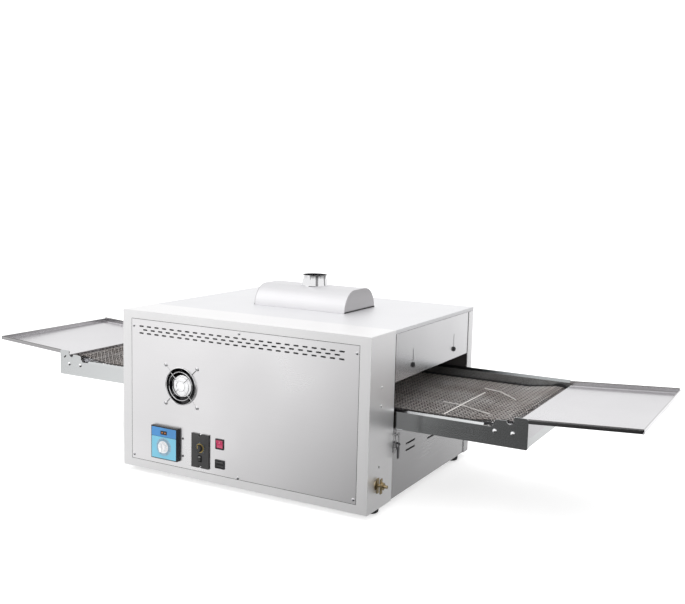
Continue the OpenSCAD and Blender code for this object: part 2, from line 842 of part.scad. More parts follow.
tray_x0 = rail_half - 32;
tray_x1 = tray_x0 + tray_l;
tray_y0 = near_y + rail_t + 1.5;
tray_y1 = far_y - 2;
tray_z = 262;
tray_t = 1.2;
lip = 12;

module tray() {
    slope = atan2(tray_rise, tray_l);
    l = tray_l / cos(slope);
    color("white") {
        translate([tray_x0, 0, tray_z]) rotate([0, -slope, 0]) {
            block([0, tray_y0, 0], [l, tray_y1, tray_t]);
            block([0, tray_y0, 0], [l, tray_y0 + tray_t, lip]);
            block([0, tray_y1 - tray_t, 0], [l, tray_y1, lip + 4]);
            block([l - tray_t, tray_y0, 0], [l, tray_y1, lip]);
        }
        // Hook behind the rod, and a flange that leans on the end plate
        block([tray_x0 - 0.2, tray_y0, 253.5], [tray_x0 + 1.2, tray_y1, tray_z + 1]);
        block([rail_half - 2.7, tray_y0, 226], [rail_half - 2.7 + tray_t, tray_y1, tray_z + 2.4]);
    }
}

module tray_right() { tray(); }
module tray_left() { mirror([1, 0, 0]) tray(); }

/* Gates */

gate_y0 = y_front + 136.5;
gate_y1 = y_front + 624.5;
gate_top = z1 - 10.6;
gate_screw_y = [y_front + 241, y_front + 519];
gate_screw_z = 350;
gate_neck_r = 1.8;
gate_slot_r = 2.1;
gate_knob_l = 4;
gate_out = 0.3;

// x is the gate's inner face
module gate(x) {
    color("gainsboro") difference() {
        block([x, gate_y0, gate_z], [x + sheet, gate_y1, gate_top]);
        for (y = gate_screw_y) {
            block([x - 1, y - gate_slot_r, gate_screw_z - 8],
                [x + 3, y + gate_slot_r, gate_screw_z + gate_travel + 3]);
            for (z = [gate_screw_z - 8, gate_screw_z + gate_travel + 3])
                bar_x([x - 1, y, z], gate_slot_r, 4);
        }
    }
}
module gate_left() { gate(x_left - gate_out); }
module gate_right() { gate(x_right - sheet + gate_out); }

// Thumb screws that clamp the gates; the neck passes through the gate's slot
module gate_knobs() {
    color("dimgray")
    for (y = gate_screw_y, side = [0, 1])
        translate([side == 1 ? x_right + gate_out + 0.3 : x_left - gate_out - 0.3, y, gate_screw_z])
            mirror([1 - side, 0, 0]) {
                bar_x([0, 0, 0], 6.5, gate_knob_l);
                bar_x([-8, 0, 0], gate_neck_r, 8);
                bar_x([gate_knob_l - end, 0, 0], 4, 1.5);
            }
}

/* Draw latch that holds the near rail down */

latch_x = x_right;
hook_z = 188.5;
hook_x = 6;

module latch_base() {
    px = latch_x + latch_reach;
    ear_in = 6.5;
    ear_t = 1.5;
    color("silver") {
        difference() {
            union() {
                block([latch_x, latch_y - 8, latch_z - 22], [latch_x + 1.5, latch_y + 8, latch_z + 8]);
                for (s = [-1, 1]) {
                    y = s > 0 ? latch_y + ear_in : latch_y - ear_in - ear_t;
                    block([latch_x, y, latch_z - 4.5], [px, y + ear_t, latch_z + 4.5]);
                    bar_y([px, y, latch_z], 4.5, ear_t);
                }
            }
            bar_y([px, latch_y - 12, latch_z], pin_r, 24);
        }
        bar_y([px, latch_y - 8, latch_z], pin_r, 16);
        // Keeper: a strap that hangs from the rail and ends in a trough for the bail
        block([latch_x + 0.5, latch_y - 6, hook_z - 3.3], [latch_x + 2, latch_y + 6, rail_z]);
        block([latch_x + 0.5, latch_y - 6, hook_z - 3.3], [latch_x + 11.5, latch_y + 6, hook_z - 1.8]);
        block([latch_x + 10, latch_y - 6, hook_z - 3.3], [latch_x + 11.5, latch_y + 6, hook_z + 0.2]);
        block([latch_x + 0.5, latch_y - 6, rail_z - 1.5], [latch_x + 20, latch_y + 6, rail_z]);
    }
}

bail_drop = 8;
bail_in = 1;

module latch_lever() {
    px = latch_x + latch_reach;
    color("dimgray") difference() {
        union() {
            bar_y([px, latch_y - 5.5, latch_z], 4, 11);
            bar_y([px - bail_in, latch_y - 5.5, latch_z - bail_drop], 3.5, 11);
            block([px - 3.5, latch_y - 5.5, latch_z - bail_drop], [px + 2.5, latch_y + 5.5, latch_z]);
            plate_x([[latch_y - 5.5, latch_z - bail_drop], [latch_y + 5.5, latch_z - bail_drop],
                [latch_y + 3.5, latch_z - 35], [latch_y - 3.5, latch_z - 35]], px, 3);
        }
        bar_y([px, latch_y - 8, latch_z], pin_r + run_gap, 16);
        bar_y([px - bail_in, latch_y - 8, latch_z - bail_drop], pin_r + run_gap, 16);
    }
}

module latch_bail() {
    px = latch_x + latch_reach - bail_in;
    pz = latch_z - bail_drop;
    half = 10;
    over = 2;
    arm_r = 1.3;
    color("silver") {
        for (p = [[px, pz], [latch_x + hook_x, hook_z]])
            bar_y([p[0], latch_y - half - over, p[1]], pin_r, 2 * (half + over));
        for (s = [-1, 1])
            translate([px, latch_y + s * half, pz])
                rotate([0, atan2(latch_x + hook_x - px, hook_z - pz), 0])
                    cylinder(r = arm_r, h = norm([latch_x + hook_x - px, hook_z - pz]));
    }
}

/* Connections */

earth_y = y_front + 49;
earth_z = 80;

module earth_terminal() {
    color("goldenrod") {
        bar_x([x_right - 8, earth_y, earth_z], 4, 38);
        bar_x([x_right, earth_y, earth_z], 12, 2);
        block([x_right + 2, earth_y - 5, earth_z - 20], [x_right + 5, earth_y + 5, earth_z + 18]);
        translate([x_right + 14, earth_y, earth_z]) rotate([0, 90, 0]) cylinder(r = 10, h = 6, $fn = 6);
        block([x_right + 11, earth_y - 5, earth_z - 20], [x_right + 14, earth_y + 5, earth_z + 18]);
    }
}

gland_x = x_left + 90;
gland_z = 60;
gland_r = 10;
gland_bore = 6.5;
gland_l = 2 * front_reach - casing_d + knob_reach;

module cable_gland() {
    color("black") difference() {
        union() {
            bar_y([gland_x, y_back - 12, gland_z], gland_r, 14);
            translate([gland_x, y_back, gland_z]) rotate([-90, 0, 0]) cylinder(r = 15, h = 5, $fn = 6);
            bar_y([gland_x, y_back, gland_z], 12, gland_l);
            translate([gland_x, y_back - 7, gland_z]) rotate([-90, 0, 0]) cylinder(r = 14, h = 5, $fn = 6);
        }
        bar_y([gland_x, y_back - 20, gland_z], gland_bore, 50);
    }
}

base_pan();
feet();
control_shell();
front_panel();
panel_screws();
bulkhead();
side_panel_left();
side_panel_right();
back_panel();
top_cover();
chamber_liner();
insulation();
heating_elements();
element_holders();
temperature_probe();
flue_tube();
exhaust_hood();
hood_end_caps();
chimney();
fan_housing();
fan_guard();
fan_rotor();
controller_case();
controller_face();
temperature_knob();
speed_plate();
speed_knob();
run_toggle();
control_screws();
power_bezel();
power_rocker();
heater_bezel();
heater_rocker();
contactor();
drive_motor();
gearbox();
motor_sprocket();
drive_chain();
near_rail();
far_rail();
end_plates();
cross_members();
bearing_blocks();
rail_bolts();
drive_shaft();
drive_wheels();
driven_sprocket();
idler_shaft();
idler_wheels();
mesh_belt();
tray_left();
tray_right();
gate_left();
gate_right();
gate_knobs();
latch_base();
latch_lever();
latch_bail();
earth_terminal();
cable_gland();
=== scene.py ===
"""The looks of a tabletop conveyor pizza oven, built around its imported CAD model.

The CAD nodes keep their shapes and get brushed, polished and moulded finishes. The woven belt, the
fan, the dials, the screws, the trays and other fine parts are modelled here in place of their CAD
nodes. Shapes are laid out in millimetres and made in metres, in the frame of the CAD model.
"""

import math

import bmesh
import bpy
from mathutils import Matrix, Vector


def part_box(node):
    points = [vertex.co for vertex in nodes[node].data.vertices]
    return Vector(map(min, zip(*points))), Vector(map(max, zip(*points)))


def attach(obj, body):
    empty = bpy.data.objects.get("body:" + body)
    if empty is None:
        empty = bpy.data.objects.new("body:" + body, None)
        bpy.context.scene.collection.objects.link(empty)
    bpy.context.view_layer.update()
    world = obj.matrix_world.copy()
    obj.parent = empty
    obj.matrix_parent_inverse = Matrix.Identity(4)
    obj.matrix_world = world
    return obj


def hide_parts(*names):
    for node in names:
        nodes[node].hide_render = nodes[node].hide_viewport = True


MM = 0.001
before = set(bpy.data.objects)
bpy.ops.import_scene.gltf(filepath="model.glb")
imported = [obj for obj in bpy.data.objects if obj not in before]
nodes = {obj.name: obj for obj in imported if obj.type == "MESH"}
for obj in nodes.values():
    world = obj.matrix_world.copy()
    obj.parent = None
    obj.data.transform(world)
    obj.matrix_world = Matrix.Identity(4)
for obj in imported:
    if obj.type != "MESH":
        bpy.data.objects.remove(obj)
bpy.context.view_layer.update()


def node_box(name):
    """A CAD node's lowest and highest corner, in millimetres."""
    lo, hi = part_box(name)
    return lo / MM, hi / MM


# ---------------------------------------------------------------- materials


class Shader:
    """A Principled material whose inputs come from a few patterns in object space."""

    def __init__(self, name, **fixed):
        self.material = bpy.data.materials.new(name)
        self.material.use_nodes = True
        self.tree = self.material.node_tree
        self.bsdf = self.tree.nodes["Principled BSDF"]
        self.place = self.node("ShaderNodeTexCoord").outputs["Object"]
        for socket, value in fixed.items():
            self.bsdf.inputs[socket.replace("_", " ")].default_value = value

    def node(self, kind, **inputs):
        made = self.tree.nodes.new(kind)
        for key, value in inputs.items():
            self.set(made.inputs[key.replace("_", " ")], value)
        return made

    def set(self, socket, value):
        if isinstance(value, bpy.types.NodeSocket):
            self.tree.links.new(value, socket)
        else:
            socket.default_value = value

    def noise(self, grain, detail=3.0):
        """Noise from 0 to 1 with that many features a metre along X, Y and Z."""
        mapped = self.node("ShaderNodeMapping", Vector=self.place, Scale=grain).outputs["Vector"]
        made = self.node("ShaderNodeTexNoise", Vector=mapped, Scale=1.0, Detail=detail)
        return made.outputs["Fac"]

    def ramp(self, value, *stops):
        """A colour for each value; stops are pairs of place and colour."""
        made = self.node("ShaderNodeValToRGB", Fac=value)
        points = made.color_ramp.elements
        while len(points) < len(stops):
            points.new(0.5)
        for point, (place, colour) in zip(points, stops):
            point.position = place
            point.color = (*colour, 1.0)
        return made.outputs["Color"]

    def span(self, value, low, high, start=0.0, end=1.0):
        """A value from start to end, mapped to low to high and held there."""
        made = self.node("ShaderNodeMapRange", Value=value)
        made.inputs["From Min"].default_value = start
        made.inputs["From Max"].default_value = end
        made.inputs["To Min"].default_value = low
        made.inputs["To Max"].default_value = high
        return made.outputs["Result"]

    def mix(self, fac, a, b):
        """A colour that goes from a to b as the factor goes from 0 to 1."""
        made = self.node("ShaderNodeMix")
        made.data_type = "RGBA"
        for socket, value in ((made.inputs[0], fac), (made.inputs[6], a), (made.inputs[7], b)):
            self.set(socket, (*value, 1.0) if isinstance(value, tuple) and len(value) == 3 else value)
        return made.outputs[2]

    def bump(self, height, distance):
        made = self.node("ShaderNodeBump", Height=height, Distance=distance, Strength=1.0)
        self.set(self.bsdf.inputs["Normal"], made.outputs["Normal"])


def tone(colour, factor):
    return tuple(min(1.0, c * factor) for c in colour)


def brushed(name, colour, rough, grain=(4, 4, 900), spread=0.03, bump=1e-6, metal=1.0):
    """Sheet metal with fine lines across the axis that grain is largest on, and slow smudges."""
    s = Shader(name, Metallic=metal)
    lines = s.noise(grain, 4.0)
    cloud = s.noise((5, 5, 5), 2.0)
    base = s.ramp(lines, (0.3, tone(colour, 1 - spread)), (0.7, tone(colour, 1 + spread)))
    base = s.mix(s.span(cloud, 0.0, 0.3, 0.35, 0.75), base, tone(colour, 0.94))
    s.set(s.bsdf.inputs["Base Color"], base)
    worn = s.node("ShaderNodeMath")
    worn.operation = "ADD"
    s.set(worn.inputs[0], s.span(cloud, -0.02, 0.03, 0.3, 0.7))
    s.set(worn.inputs[1], s.span(lines, rough - spread * 0.5, rough + spread * 0.5, 0.3, 0.7))
    s.set(s.bsdf.inputs["Roughness"], worn.outputs[0])
    s.bump(lines, bump)
    return s.material


def cast(name, colour, rough, grain=350, spread=0.12, bump=4e-5, metal=0.0, **fixed):
    """Moulded, cast or painted stuff: an even fine grain, with slow changes in tone and gloss."""
    s = Shader(name, Metallic=metal, **fixed)
    fine = s.noise((grain, grain, grain), 3.0)
    cloud = s.noise((22, 22, 22), 3.0)
    base = s.ramp(cloud, (0.3, tone(colour, 1 - spread)), (0.7, tone(colour, 1 + spread)))
    s.set(s.bsdf.inputs["Base Color"], s.mix(s.span(fine, 0.0, 0.25, 0.4, 0.7), base, tone(colour, 0.8)))
    s.set(s.bsdf.inputs["Roughness"], s.span(fine, rough - 0.06, rough + 0.08, 0.3, 0.7))
    s.bump(fine, bump)
    return s.material


casing_x = brushed("casing_steel_x", (0.78, 0.775, 0.785), 0.24)
shell_steel = brushed("control_shell_steel", (0.92, 0.915, 0.92), 0.40, (3, 3, 1100), spread=0.012, metal=0.9)
casing_top = brushed("casing_steel_top", (0.845, 0.845, 0.86), 0.46, (4, 900, 4), spread=0.02)
panel_steel = brushed("panel_steel", (0.905, 0.895, 0.905), 0.29, (3, 3, 1100), spread=0.012, bump=1e-6)
gate_steel = brushed("gate_steel", (0.78, 0.775, 0.79), 0.23, (900, 4, 900), spread=0.02)
hood_steel = brushed("hood_steel", (0.75, 0.745, 0.76), 0.50, (4, 500, 500), spread=0.02)
cap_steel = brushed("cap_steel", (0.45, 0.44, 0.45), 0.38, (4, 4, 700))
polished = brushed("polished_steel", (0.80, 0.80, 0.81), 0.08, (600, 600, 4), spread=0.02)
rail_steel = brushed("rail_steel", (0.655, 0.67, 0.675), 0.15, (3, 3, 900), spread=0.02)
tray_steel = brushed("tray_steel", (0.66, 0.65, 0.67), 0.20, (900, 4, 4), spread=0.02)
# A darker copy of the rail steel for the far rail, whose inner face lies in shade: painted shade.
far_rail_painted_shade = brushed("far_rail_painted_shade", (0.42, 0.44, 0.445), 0.18, (3, 3, 900), spread=0.02)
# Darker copies of the tray steel for the tray's hems and lips: painted shade, darkest on the hems and inside
# the near lip.
lip_dark_painted_shade = brushed("tray_lip_dark_painted_shade", (0.11, 0.105, 0.105), 0.16, (4, 4, 900), spread=0.03)
lip_face_painted_shade = brushed("tray_lip_face_painted_shade", (0.46, 0.455, 0.46), 0.14, (4, 4, 900), spread=0.02)
end_lip_painted_shade = brushed("tray_end_lip_painted_shade", (0.50, 0.49, 0.50), 0.16, (4, 4, 900), spread=0.03)
inner_steel = brushed("inner_steel", (0.13, 0.12, 0.12), 0.5, (8, 8, 300), spread=0.2, metal=0.8)
machined = brushed("machined_steel", (0.66, 0.66, 0.68), 0.28, (4, 1200, 4))
galvanised = cast("galvanised_sheet", (0.55, 0.56, 0.57), 0.42, 60, 0.15, 1e-5, metal=1.0)
# Dark metal for the latch lever, the chain and two screw heads; it is also the painted shade in the cross
# recesses of the control screws.
dark_metal_and_recess_shade = cast("dark_metal_and_recess_shade", (0.09, 0.09, 0.095), 0.42, 500, metal=0.7)
# Black rubber for the feet and the vent screens, also used for the strips of painted shadow by the gates and
# under the hood's ends.
rubber_and_painted_shadow = cast("foot_rubber_and_painted_shadow", (0.018, 0.018, 0.019), 0.7, 900, 0.3, 8e-5)
black_plastic = cast("black_plastic", (0.022, 0.022, 0.024), 0.42, 1200, 0.2, 3e-5)
graphite = cast("graphite_plastic", (0.034, 0.033, 0.034), 0.38, 1200, 0.2, 3e-5)
white_plastic = cast("white_plastic", (0.80, 0.80, 0.79), 0.3, 500, 0.03, 2e-5, Coat_Weight=0.3)
ceramic = cast("ceramic", (0.72, 0.68, 0.60), 0.55, 500, 0.08, 6e-5)
blanket = cast("ceramic_blanket", (0.70, 0.64, 0.52), 0.95, 160, 0.1, 8e-4)
element = cast("element_tube", (0.20, 0.14, 0.11), 0.5, 200, 0.3, 4e-5, metal=0.6)
alloy = cast("cast_alloy", (0.42, 0.42, 0.43), 0.5, 600, 0.1, 1e-4, metal=0.8)
motor_paint = cast("motor_paint", (0.06, 0.065, 0.07), 0.35, 700, 0.15, 5e-5, Coat_Weight=0.3)
brass = cast("brass", (0.50, 0.40, 0.24), 0.32, 400, 0.12, 2e-5, metal=1.0)
# Dark print for the scales and marks; it is also the painted shade in the cross recesses of the other screws.
ink_and_recess_shade = cast("scale_ink_and_recess_shade", (0.09, 0.10, 0.12), 0.5, 900, 0.15, 1e-5)


def wire_material(name, tints, grime, rough):
    """Stainless wire, tinted brown and blue by heat in patches, with some baked-on grime. Given dark tints
    and grime, it makes a copy whose colour is painted shade.
    """
    s = Shader(name, Metallic=0.5)
    patch = s.noise((9, 9, 9), 4.0)
    fine = s.noise((260, 260, 260), 2.0)
    tint = s.ramp(patch, *zip((0.28, 0.5, 0.72), tints))
    s.set(s.bsdf.inputs["Base Color"], s.mix(s.span(fine, 0.0, 0.5, 0.4, 0.7), tint, grime))
    s.set(s.bsdf.inputs["Roughness"], s.span(fine, rough, rough + 0.15, 0.3, 0.7))
    s.bump(fine, 3e-5)
    return s.material


# The wire as lit, and a dark copy of it that is painted shade, for the leg of each spiral inside the belt's
# loop and for the cross rods.
lit_wire = wire_material("belt_wire_lit", ((0.46, 0.41, 0.385), (0.60, 0.56, 0.54), (0.70, 0.68, 0.665)),
                          (0.26, 0.225, 0.21), 0.34)
shaded_wire = wire_material("belt_wire_painted_shade", ((0.03, 0.026, 0.025), (0.06, 0.052, 0.05), (0.09, 0.08, 0.077)),
                          (0.05, 0.04, 0.04), 0.4)

FINISH = {
    shell_steel: "control_shell",
    casing_x: "side_panel_left side_panel_right back_panel base_pan",
    casing_top: "top_cover",
    panel_steel: "front_panel",
    gate_steel: "gate_left gate_right",
    hood_steel: "exhaust_hood",
    cap_steel: "hood_end_caps",
    polished: "chimney latch_base latch_bail",
    rail_steel: "near_rail end_plates",
    far_rail_painted_shade: "far_rail",
    galvanised: "bulkhead flue_tube cross_members",
    inner_steel: "chamber_liner",
    machined: "drive_shaft idler_shaft motor_sprocket driven_sprocket temperature_probe "
              "drive_wheels idler_wheels",
    dark_metal_and_recess_shade: "latch_lever drive_chain",
    rubber_and_painted_shadow: "feet",
    black_plastic: "fan_housing controller_case bearing_blocks cable_gland",
    graphite: "speed_plate",
    ceramic: "element_holders contactor",
    blanket: "insulation",
    element: "heating_elements",
    alloy: "gearbox",
    motor_paint: "drive_motor",
    brass: "earth_terminal",
}
UNROUNDED = "insulation drive_chain heating_elements gate_left gate_right front_panel".split()
SOFT_EDGE = 0.45


def dress(name, material):
    """Gives a CAD node its finish and, for most nodes, a narrow rounded edge."""
    thing = nodes[name]
    for spot in thing.material_slots:
        spot.material = material
    if name not in UNROUNDED:
        weld = thing.modifiers.new("weld", "WELD")
        weld.merge_threshold = 1e-6
        bevel = thing.modifiers.new("edge", "BEVEL")
        bevel.width = SOFT_EDGE * MM
        bevel.segments = 2
        bevel.limit_method = "ANGLE"
        bevel.angle_limit = math.radians(35)
        thing.modifiers.new("normals", "WEIGHTED_NORMAL").keep_sharp = False


for finish, names in FINISH.items():
    for each in names.split():
        dress(each, finish)

# ---------------------------------------------------------------- shapes

ACROSS = {"x": ((0, 1, 0), (0, 0, 1), (1, 0, 0)), "y": ((0, 0, 1), (1, 0, 0), (0, 1, 0)),
          "z": ((1, 0, 0), (0, 1, 0), (0, 0, 1))}


class Piece:
    """Shapes gathered into one mesh. Places are in millimetres until it is made."""

    def __init__(self):
        self.verts, self.faces, self.marks = [], [], []

    def add(self, verts, faces, material=0):
        start = len(self.verts)
        self.verts += [tuple(v) for v in verts]
        self.faces += [tuple(start + i for i in f) for f in faces]
        self.marks += [material] * len(faces)

    def box(self, lo, hi, material=0):
        corners = [(x, y, z) for x in (lo[0], hi[0]) for y in (lo[1], hi[1]) for z in (lo[2], hi[2])]
        sides = ((0, 1, 3, 2), (4, 6, 7, 5), (0, 4, 5, 1), (2, 3, 7, 6), (0, 2, 6, 4), (1, 5, 7, 3))
        self.add(corners, sides, material)

    def rings(self, rings, closed=False, material=0):
        """Skins rings of equal length, one after another; an open row of rings is capped."""
        n = len(rings[0])
        count = len(rings)
        faces = []
        for i in range(count if closed else count - 1):
            a, b = i * n, (i + 1) % count * n
            faces += [(a + k, a + (k + 1) % n, b + (k + 1) % n, b + k) for k in range(n)]
        if not closed:
            faces += [tuple(range(n)), tuple((count - 1) * n + k for k in range(n))]
        self.add([v for ring in rings for v in ring], faces, material)

    def prism(self, outline, axis, start, end, material=0):
        """An outline in the two axes after this one, drawn along it."""
        u, v, along = (Vector(d) for d in ACROSS[axis])
        self.rings([[u * a + v * b + along * d for a, b in outline] for d in (start, end)], material=material)

    def turn(self, profile, centre, axis, steps=32, material=0, flutes=0, depth=0.0):
        """Pairs of radius and distance turned about an axis; flutes cut grooves into the widest part."""
        u, v, along = (Vector(d) for d in ACROSS[axis])
        centre = Vector(centre)
        widest = max(r for r, _ in profile)
        if flutes:
            steps = flutes * 4
        rings = []
        for r, d in profile:
            ring = []
            for k in range(steps):
                t = 2 * math.pi * k / steps
                cut = depth if flutes and k % 4 < 2 and r > widest * 0.8 else 0.0
                ring.append(centre + (u * math.cos(t) + v * math.sin(t)) * max(r - cut, 0.001) + along * d)
            rings.append(ring)
        self.rings(rings, material=material)

    def wire(self, path, radius, sides=8, closed=False, material=0):
        """A round wire along points that turn gently."""
        path = [Vector(p) for p in path]
        count = len(path)
        side = None
        rings = []
        for i, p in enumerate(path):
            before = path[i - 1] if closed or i else p
            after = path[(i + 1) % count] if closed or i < count - 1 else p
            along = (after - before).normalized()
            if side is None:
                side = along.orthogonal().normalized()
            side = (side - along * side.dot(along)).normalized()
            other = along.cross(side)
            angles = [2 * math.pi * k / sides for k in range(sides)]
            rings.append([p + (side * math.cos(t) + other * math.sin(t)) * radius for t in angles])
        self.rings(rings, closed, material)

    def make(self, name, body, materials, replaces=(), slot=None, edge=0.0, crease=38):
        """Makes the mesh, rides it on a body and hides the CAD nodes that it replaces."""
        mesh = bpy.data.meshes.new(name)
        mesh.from_pydata([Vector(v) * MM for v in self.verts], [], self.faces)
        for material in materials:
            mesh.materials.append(material)
        mesh.polygons.foreach_set("material_index", self.marks)
        mesh.polygons.foreach_set("use_smooth", [True] * len(self.faces))
        work = bmesh.new()
        work.from_mesh(mesh)
        bmesh.ops.recalc_face_normals(work, faces=work.faces)
        work.to_mesh(mesh)
        work.free()
        mesh.set_sharp_from_angle(angle=math.radians(crease))
        thing = bpy.data.objects.new(name, mesh)
        bpy.context.scene.collection.objects.link(thing)
        if edge:
            bevel = thing.modifiers.new("edge", "BEVEL")
            bevel.width = edge * MM
            bevel.segments = 2
            bevel.limit_method = "ANGLE"
            bevel.angle_limit = math.radians(crease)
            bevel.harden_normals = True
        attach(thing, body)
        if replaces:
            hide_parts(*replaces)
        return thing


def arc(cx, cy, r, start, end, steps):
    """Points on an arc, from one angle in degrees to another."""
    angles = [math.radians(start + (end - start) * i / steps) for i in range(steps + 1)]
    return [(cx + r * math.cos(a), cy + r * math.sin(a)) for a in angles]


def rounded(lo, hi, r, steps=5):
    """The outline of a rectangle with round corners."""
    (x0, y0), (x1, y1) = lo, hi
    return (arc(x1 - r, y0 + r, r, -90, 0, steps) + arc(x1 - r, y1 - r, r, 0, 90, steps)
            + arc(x0 + r, y1 - r, r, 90, 180, steps) + arc(x0 + r, y0 + r, r, 180, 270, steps))


def middle(name):
    """The middle of a CAD node's box, in millimetres."""
    lo, hi = node_box(name)
    return (lo + hi) / 2


# ---------------------------------------------------------------- woven belt

RUN_HALF = 600.0                # where the upper run leaves its slides and climbs to the end wheels
RUN_HEIGHT = 246.0
RUN_RISE = 0.12                 # slope of the upper run from there to the end wheels
CLIMB = 97.0                    # angle on the end wheel where the upper run meets it
LOOP_R = 22.5                   # of the belt's middle round the end wheels
SPIRAL_PITCH = 8.0              # from one cross rod to the next
TURN_PITCH = 16.0               # from one turn of a spiral to the next, across the belt
WIRE_R = 1.0
ROD_R = 0.6
REACH = WIRE_R + ROD_R - 0.1    # from the rods' middle to the middle of the wire round them


def belt_loop():
    """Stations along the belt: middle point, direction and outward side, in X and Z."""
    shaft = middle("drive_shaft")
    right = arc(shaft.x, shaft.z, LOOP_R, -90, CLIMB, 40) + [(RUN_HALF, RUN_HEIGHT)]
    loop = right + [(-x, z) for x, z in reversed(right)]
    loop = [Vector((x, 0, z)) for x, z in loop]
    lengths = [(b - a).length for a, b in zip(loop, loop[1:] + loop[:1])]
    count = round(sum(lengths) / SPIRAL_PITCH)
    step = sum(lengths) / count
    stations = []
    leg, start = 0, 0.0
    for i in range(count):
        while start + lengths[leg] < i * step:
            start += lengths[leg]
            leg += 1
        a, b = loop[leg], loop[(leg + 1) % len(loop)]
        stations.append(a.lerp(b, (i * step - start) / lengths[leg]))
    found = []
    for i, p in enumerate(stations):
        along = (stations[(i + 1) % count] - stations[i - 1]).normalized()
        found.append((p, along, Vector((along.z, 0, -along.x))))
    return found


def weave(stations, first, last, y0, y1):
    """Spirals and cross rods between two stations, each spiral wound the other way from the last. The leg of
    each turn on the inside of the loop, and the rods, take the second finish, which is painted shade.
    """
    piece = Piece()
    turns = round((y1 - y0 - 2) / TURN_PITCH)
    half = (y1 - y0 - 2) / turns / 2
    y = Vector((0, WIRE_R, 0))
    count = len(stations)
    for i in range(first, last):
        (pa, ta, na), (pb, tb, nb) = stations[i % count], stations[(i + 1) % count]
        way, start = (1, y0 + 1) if i % 2 else (-1, y1 - 1)
        corners = ((pa + na * REACH, (na - ta) * WIRE_R), (pb + nb * REACH, (nb + tb) * WIRE_R),
                   (pb - nb * REACH, (tb - nb) * WIRE_R), (pa - na * REACH, (-na - ta) * WIRE_R))
        rings = []
        for turn in range(turns):
            for k, (p, out) in enumerate(corners):
                q = p + Vector((0, start + way * half * (2 * turn + (0, 1, 1, 2)[k]), 0))
                rings.append([q + out, q + y, q - out, q - y])
        face = len(piece.marks)
        piece.rings(rings)
        # The leg on the inside of the loop takes the dark wire: painted shade.
        for k in range(2, len(rings) - 1, 4):
            piece.marks[face + 4 * k:face + 4 * k + 4] = [1] * 4
        # The cross rods take the dark wire too: painted shade.
        ring = [(na * math.sin(a) + ta * math.cos(a)) * ROD_R for a in (math.pi * k / 3 for k in range(6))]
        piece.rings([[pa + r + Vector((0, at, 0)) for r in ring] for at in (y0, y1)], material=1)
    return piece


def add_belt():
    lo, hi = node_box("mesh_belt")
    stations = belt_loop()
    names = ("upper_right", "upper_left", "lower_left", "lower_right")
    quarter = len(stations) / len(names)
    offset = next(i for i, (p, _, n) in enumerate(stations) if p.x > 0 and n.z > 0.99 and p.x < RUN_HALF + 90)
    for k, name in enumerate(names):
        first, last = offset + round(k * quarter), offset + round((k + 1) * quarter)
        part = weave(stations, first, last, lo.y, hi.y)
        part.make("mesh_belt_" + name, "oven", [lit_wire, shaded_wire], ("mesh_belt",), "belt_wire",
                  crease=180)
    top = RUN_HEIGHT + REACH + WIRE_R + 0.5
    splice = Piece()
    for line in (((522, -149), (523, 0), (525, 140)), ((505, 190), (559, 172), (590, 140), (628, 92)),
                 ((470, -26), (524, -32), (570, -58), (622, -92))):
        splice.wire([(x, y, top + RUN_RISE * max(0, x - RUN_HALF)) for x, y in line], 1.6)
    splice.make("mesh_belt_splices", "oven", [splice_wire], ("mesh_belt",), "belt_wire")


splice_wire = cast("belt_splice_wire", (0.90, 0.87, 0.84), 0.30, 500, 0.05, 1e-5, metal=0.4)
add_belt()

# ---------------------------------------------------------------- cooling fan


def screw(piece, place, axis, way, r, height, material=0, dark=1):
    """A pan head with a dark cross inlaid where its recess is, as painted shade. Its underside is at the
    place and its top on the way given.
    """
    head = ((0, 0), (0.96, 0), (1, 0.3), (0.9, 0.72), (0.66, 0.95), (0.45, 1), (0, 1))
    piece.turn([(r * a, way * height * b) for a, b in head], place, axis, 24, material)
    along = Vector(ACROSS[axis][2]) * way
    flat = [Vector(ACROSS[axis][0]), Vector(ACROSS[axis][1])]
    # The cross is two thin boxes in the dark finish: painted shade in place of a cut recess.
    for a, b in (flat, flat[::-1]):
        corner = a * r * 0.5 + b * r * 0.1
        top = Vector(place) + along * (height + 0.04)
        p, q = top - along * 0.5 - corner, top + corner
        piece.box([min(i, j) for i, j in zip(p, q)], [max(i, j) for i, j in zip(p, q)], dark)


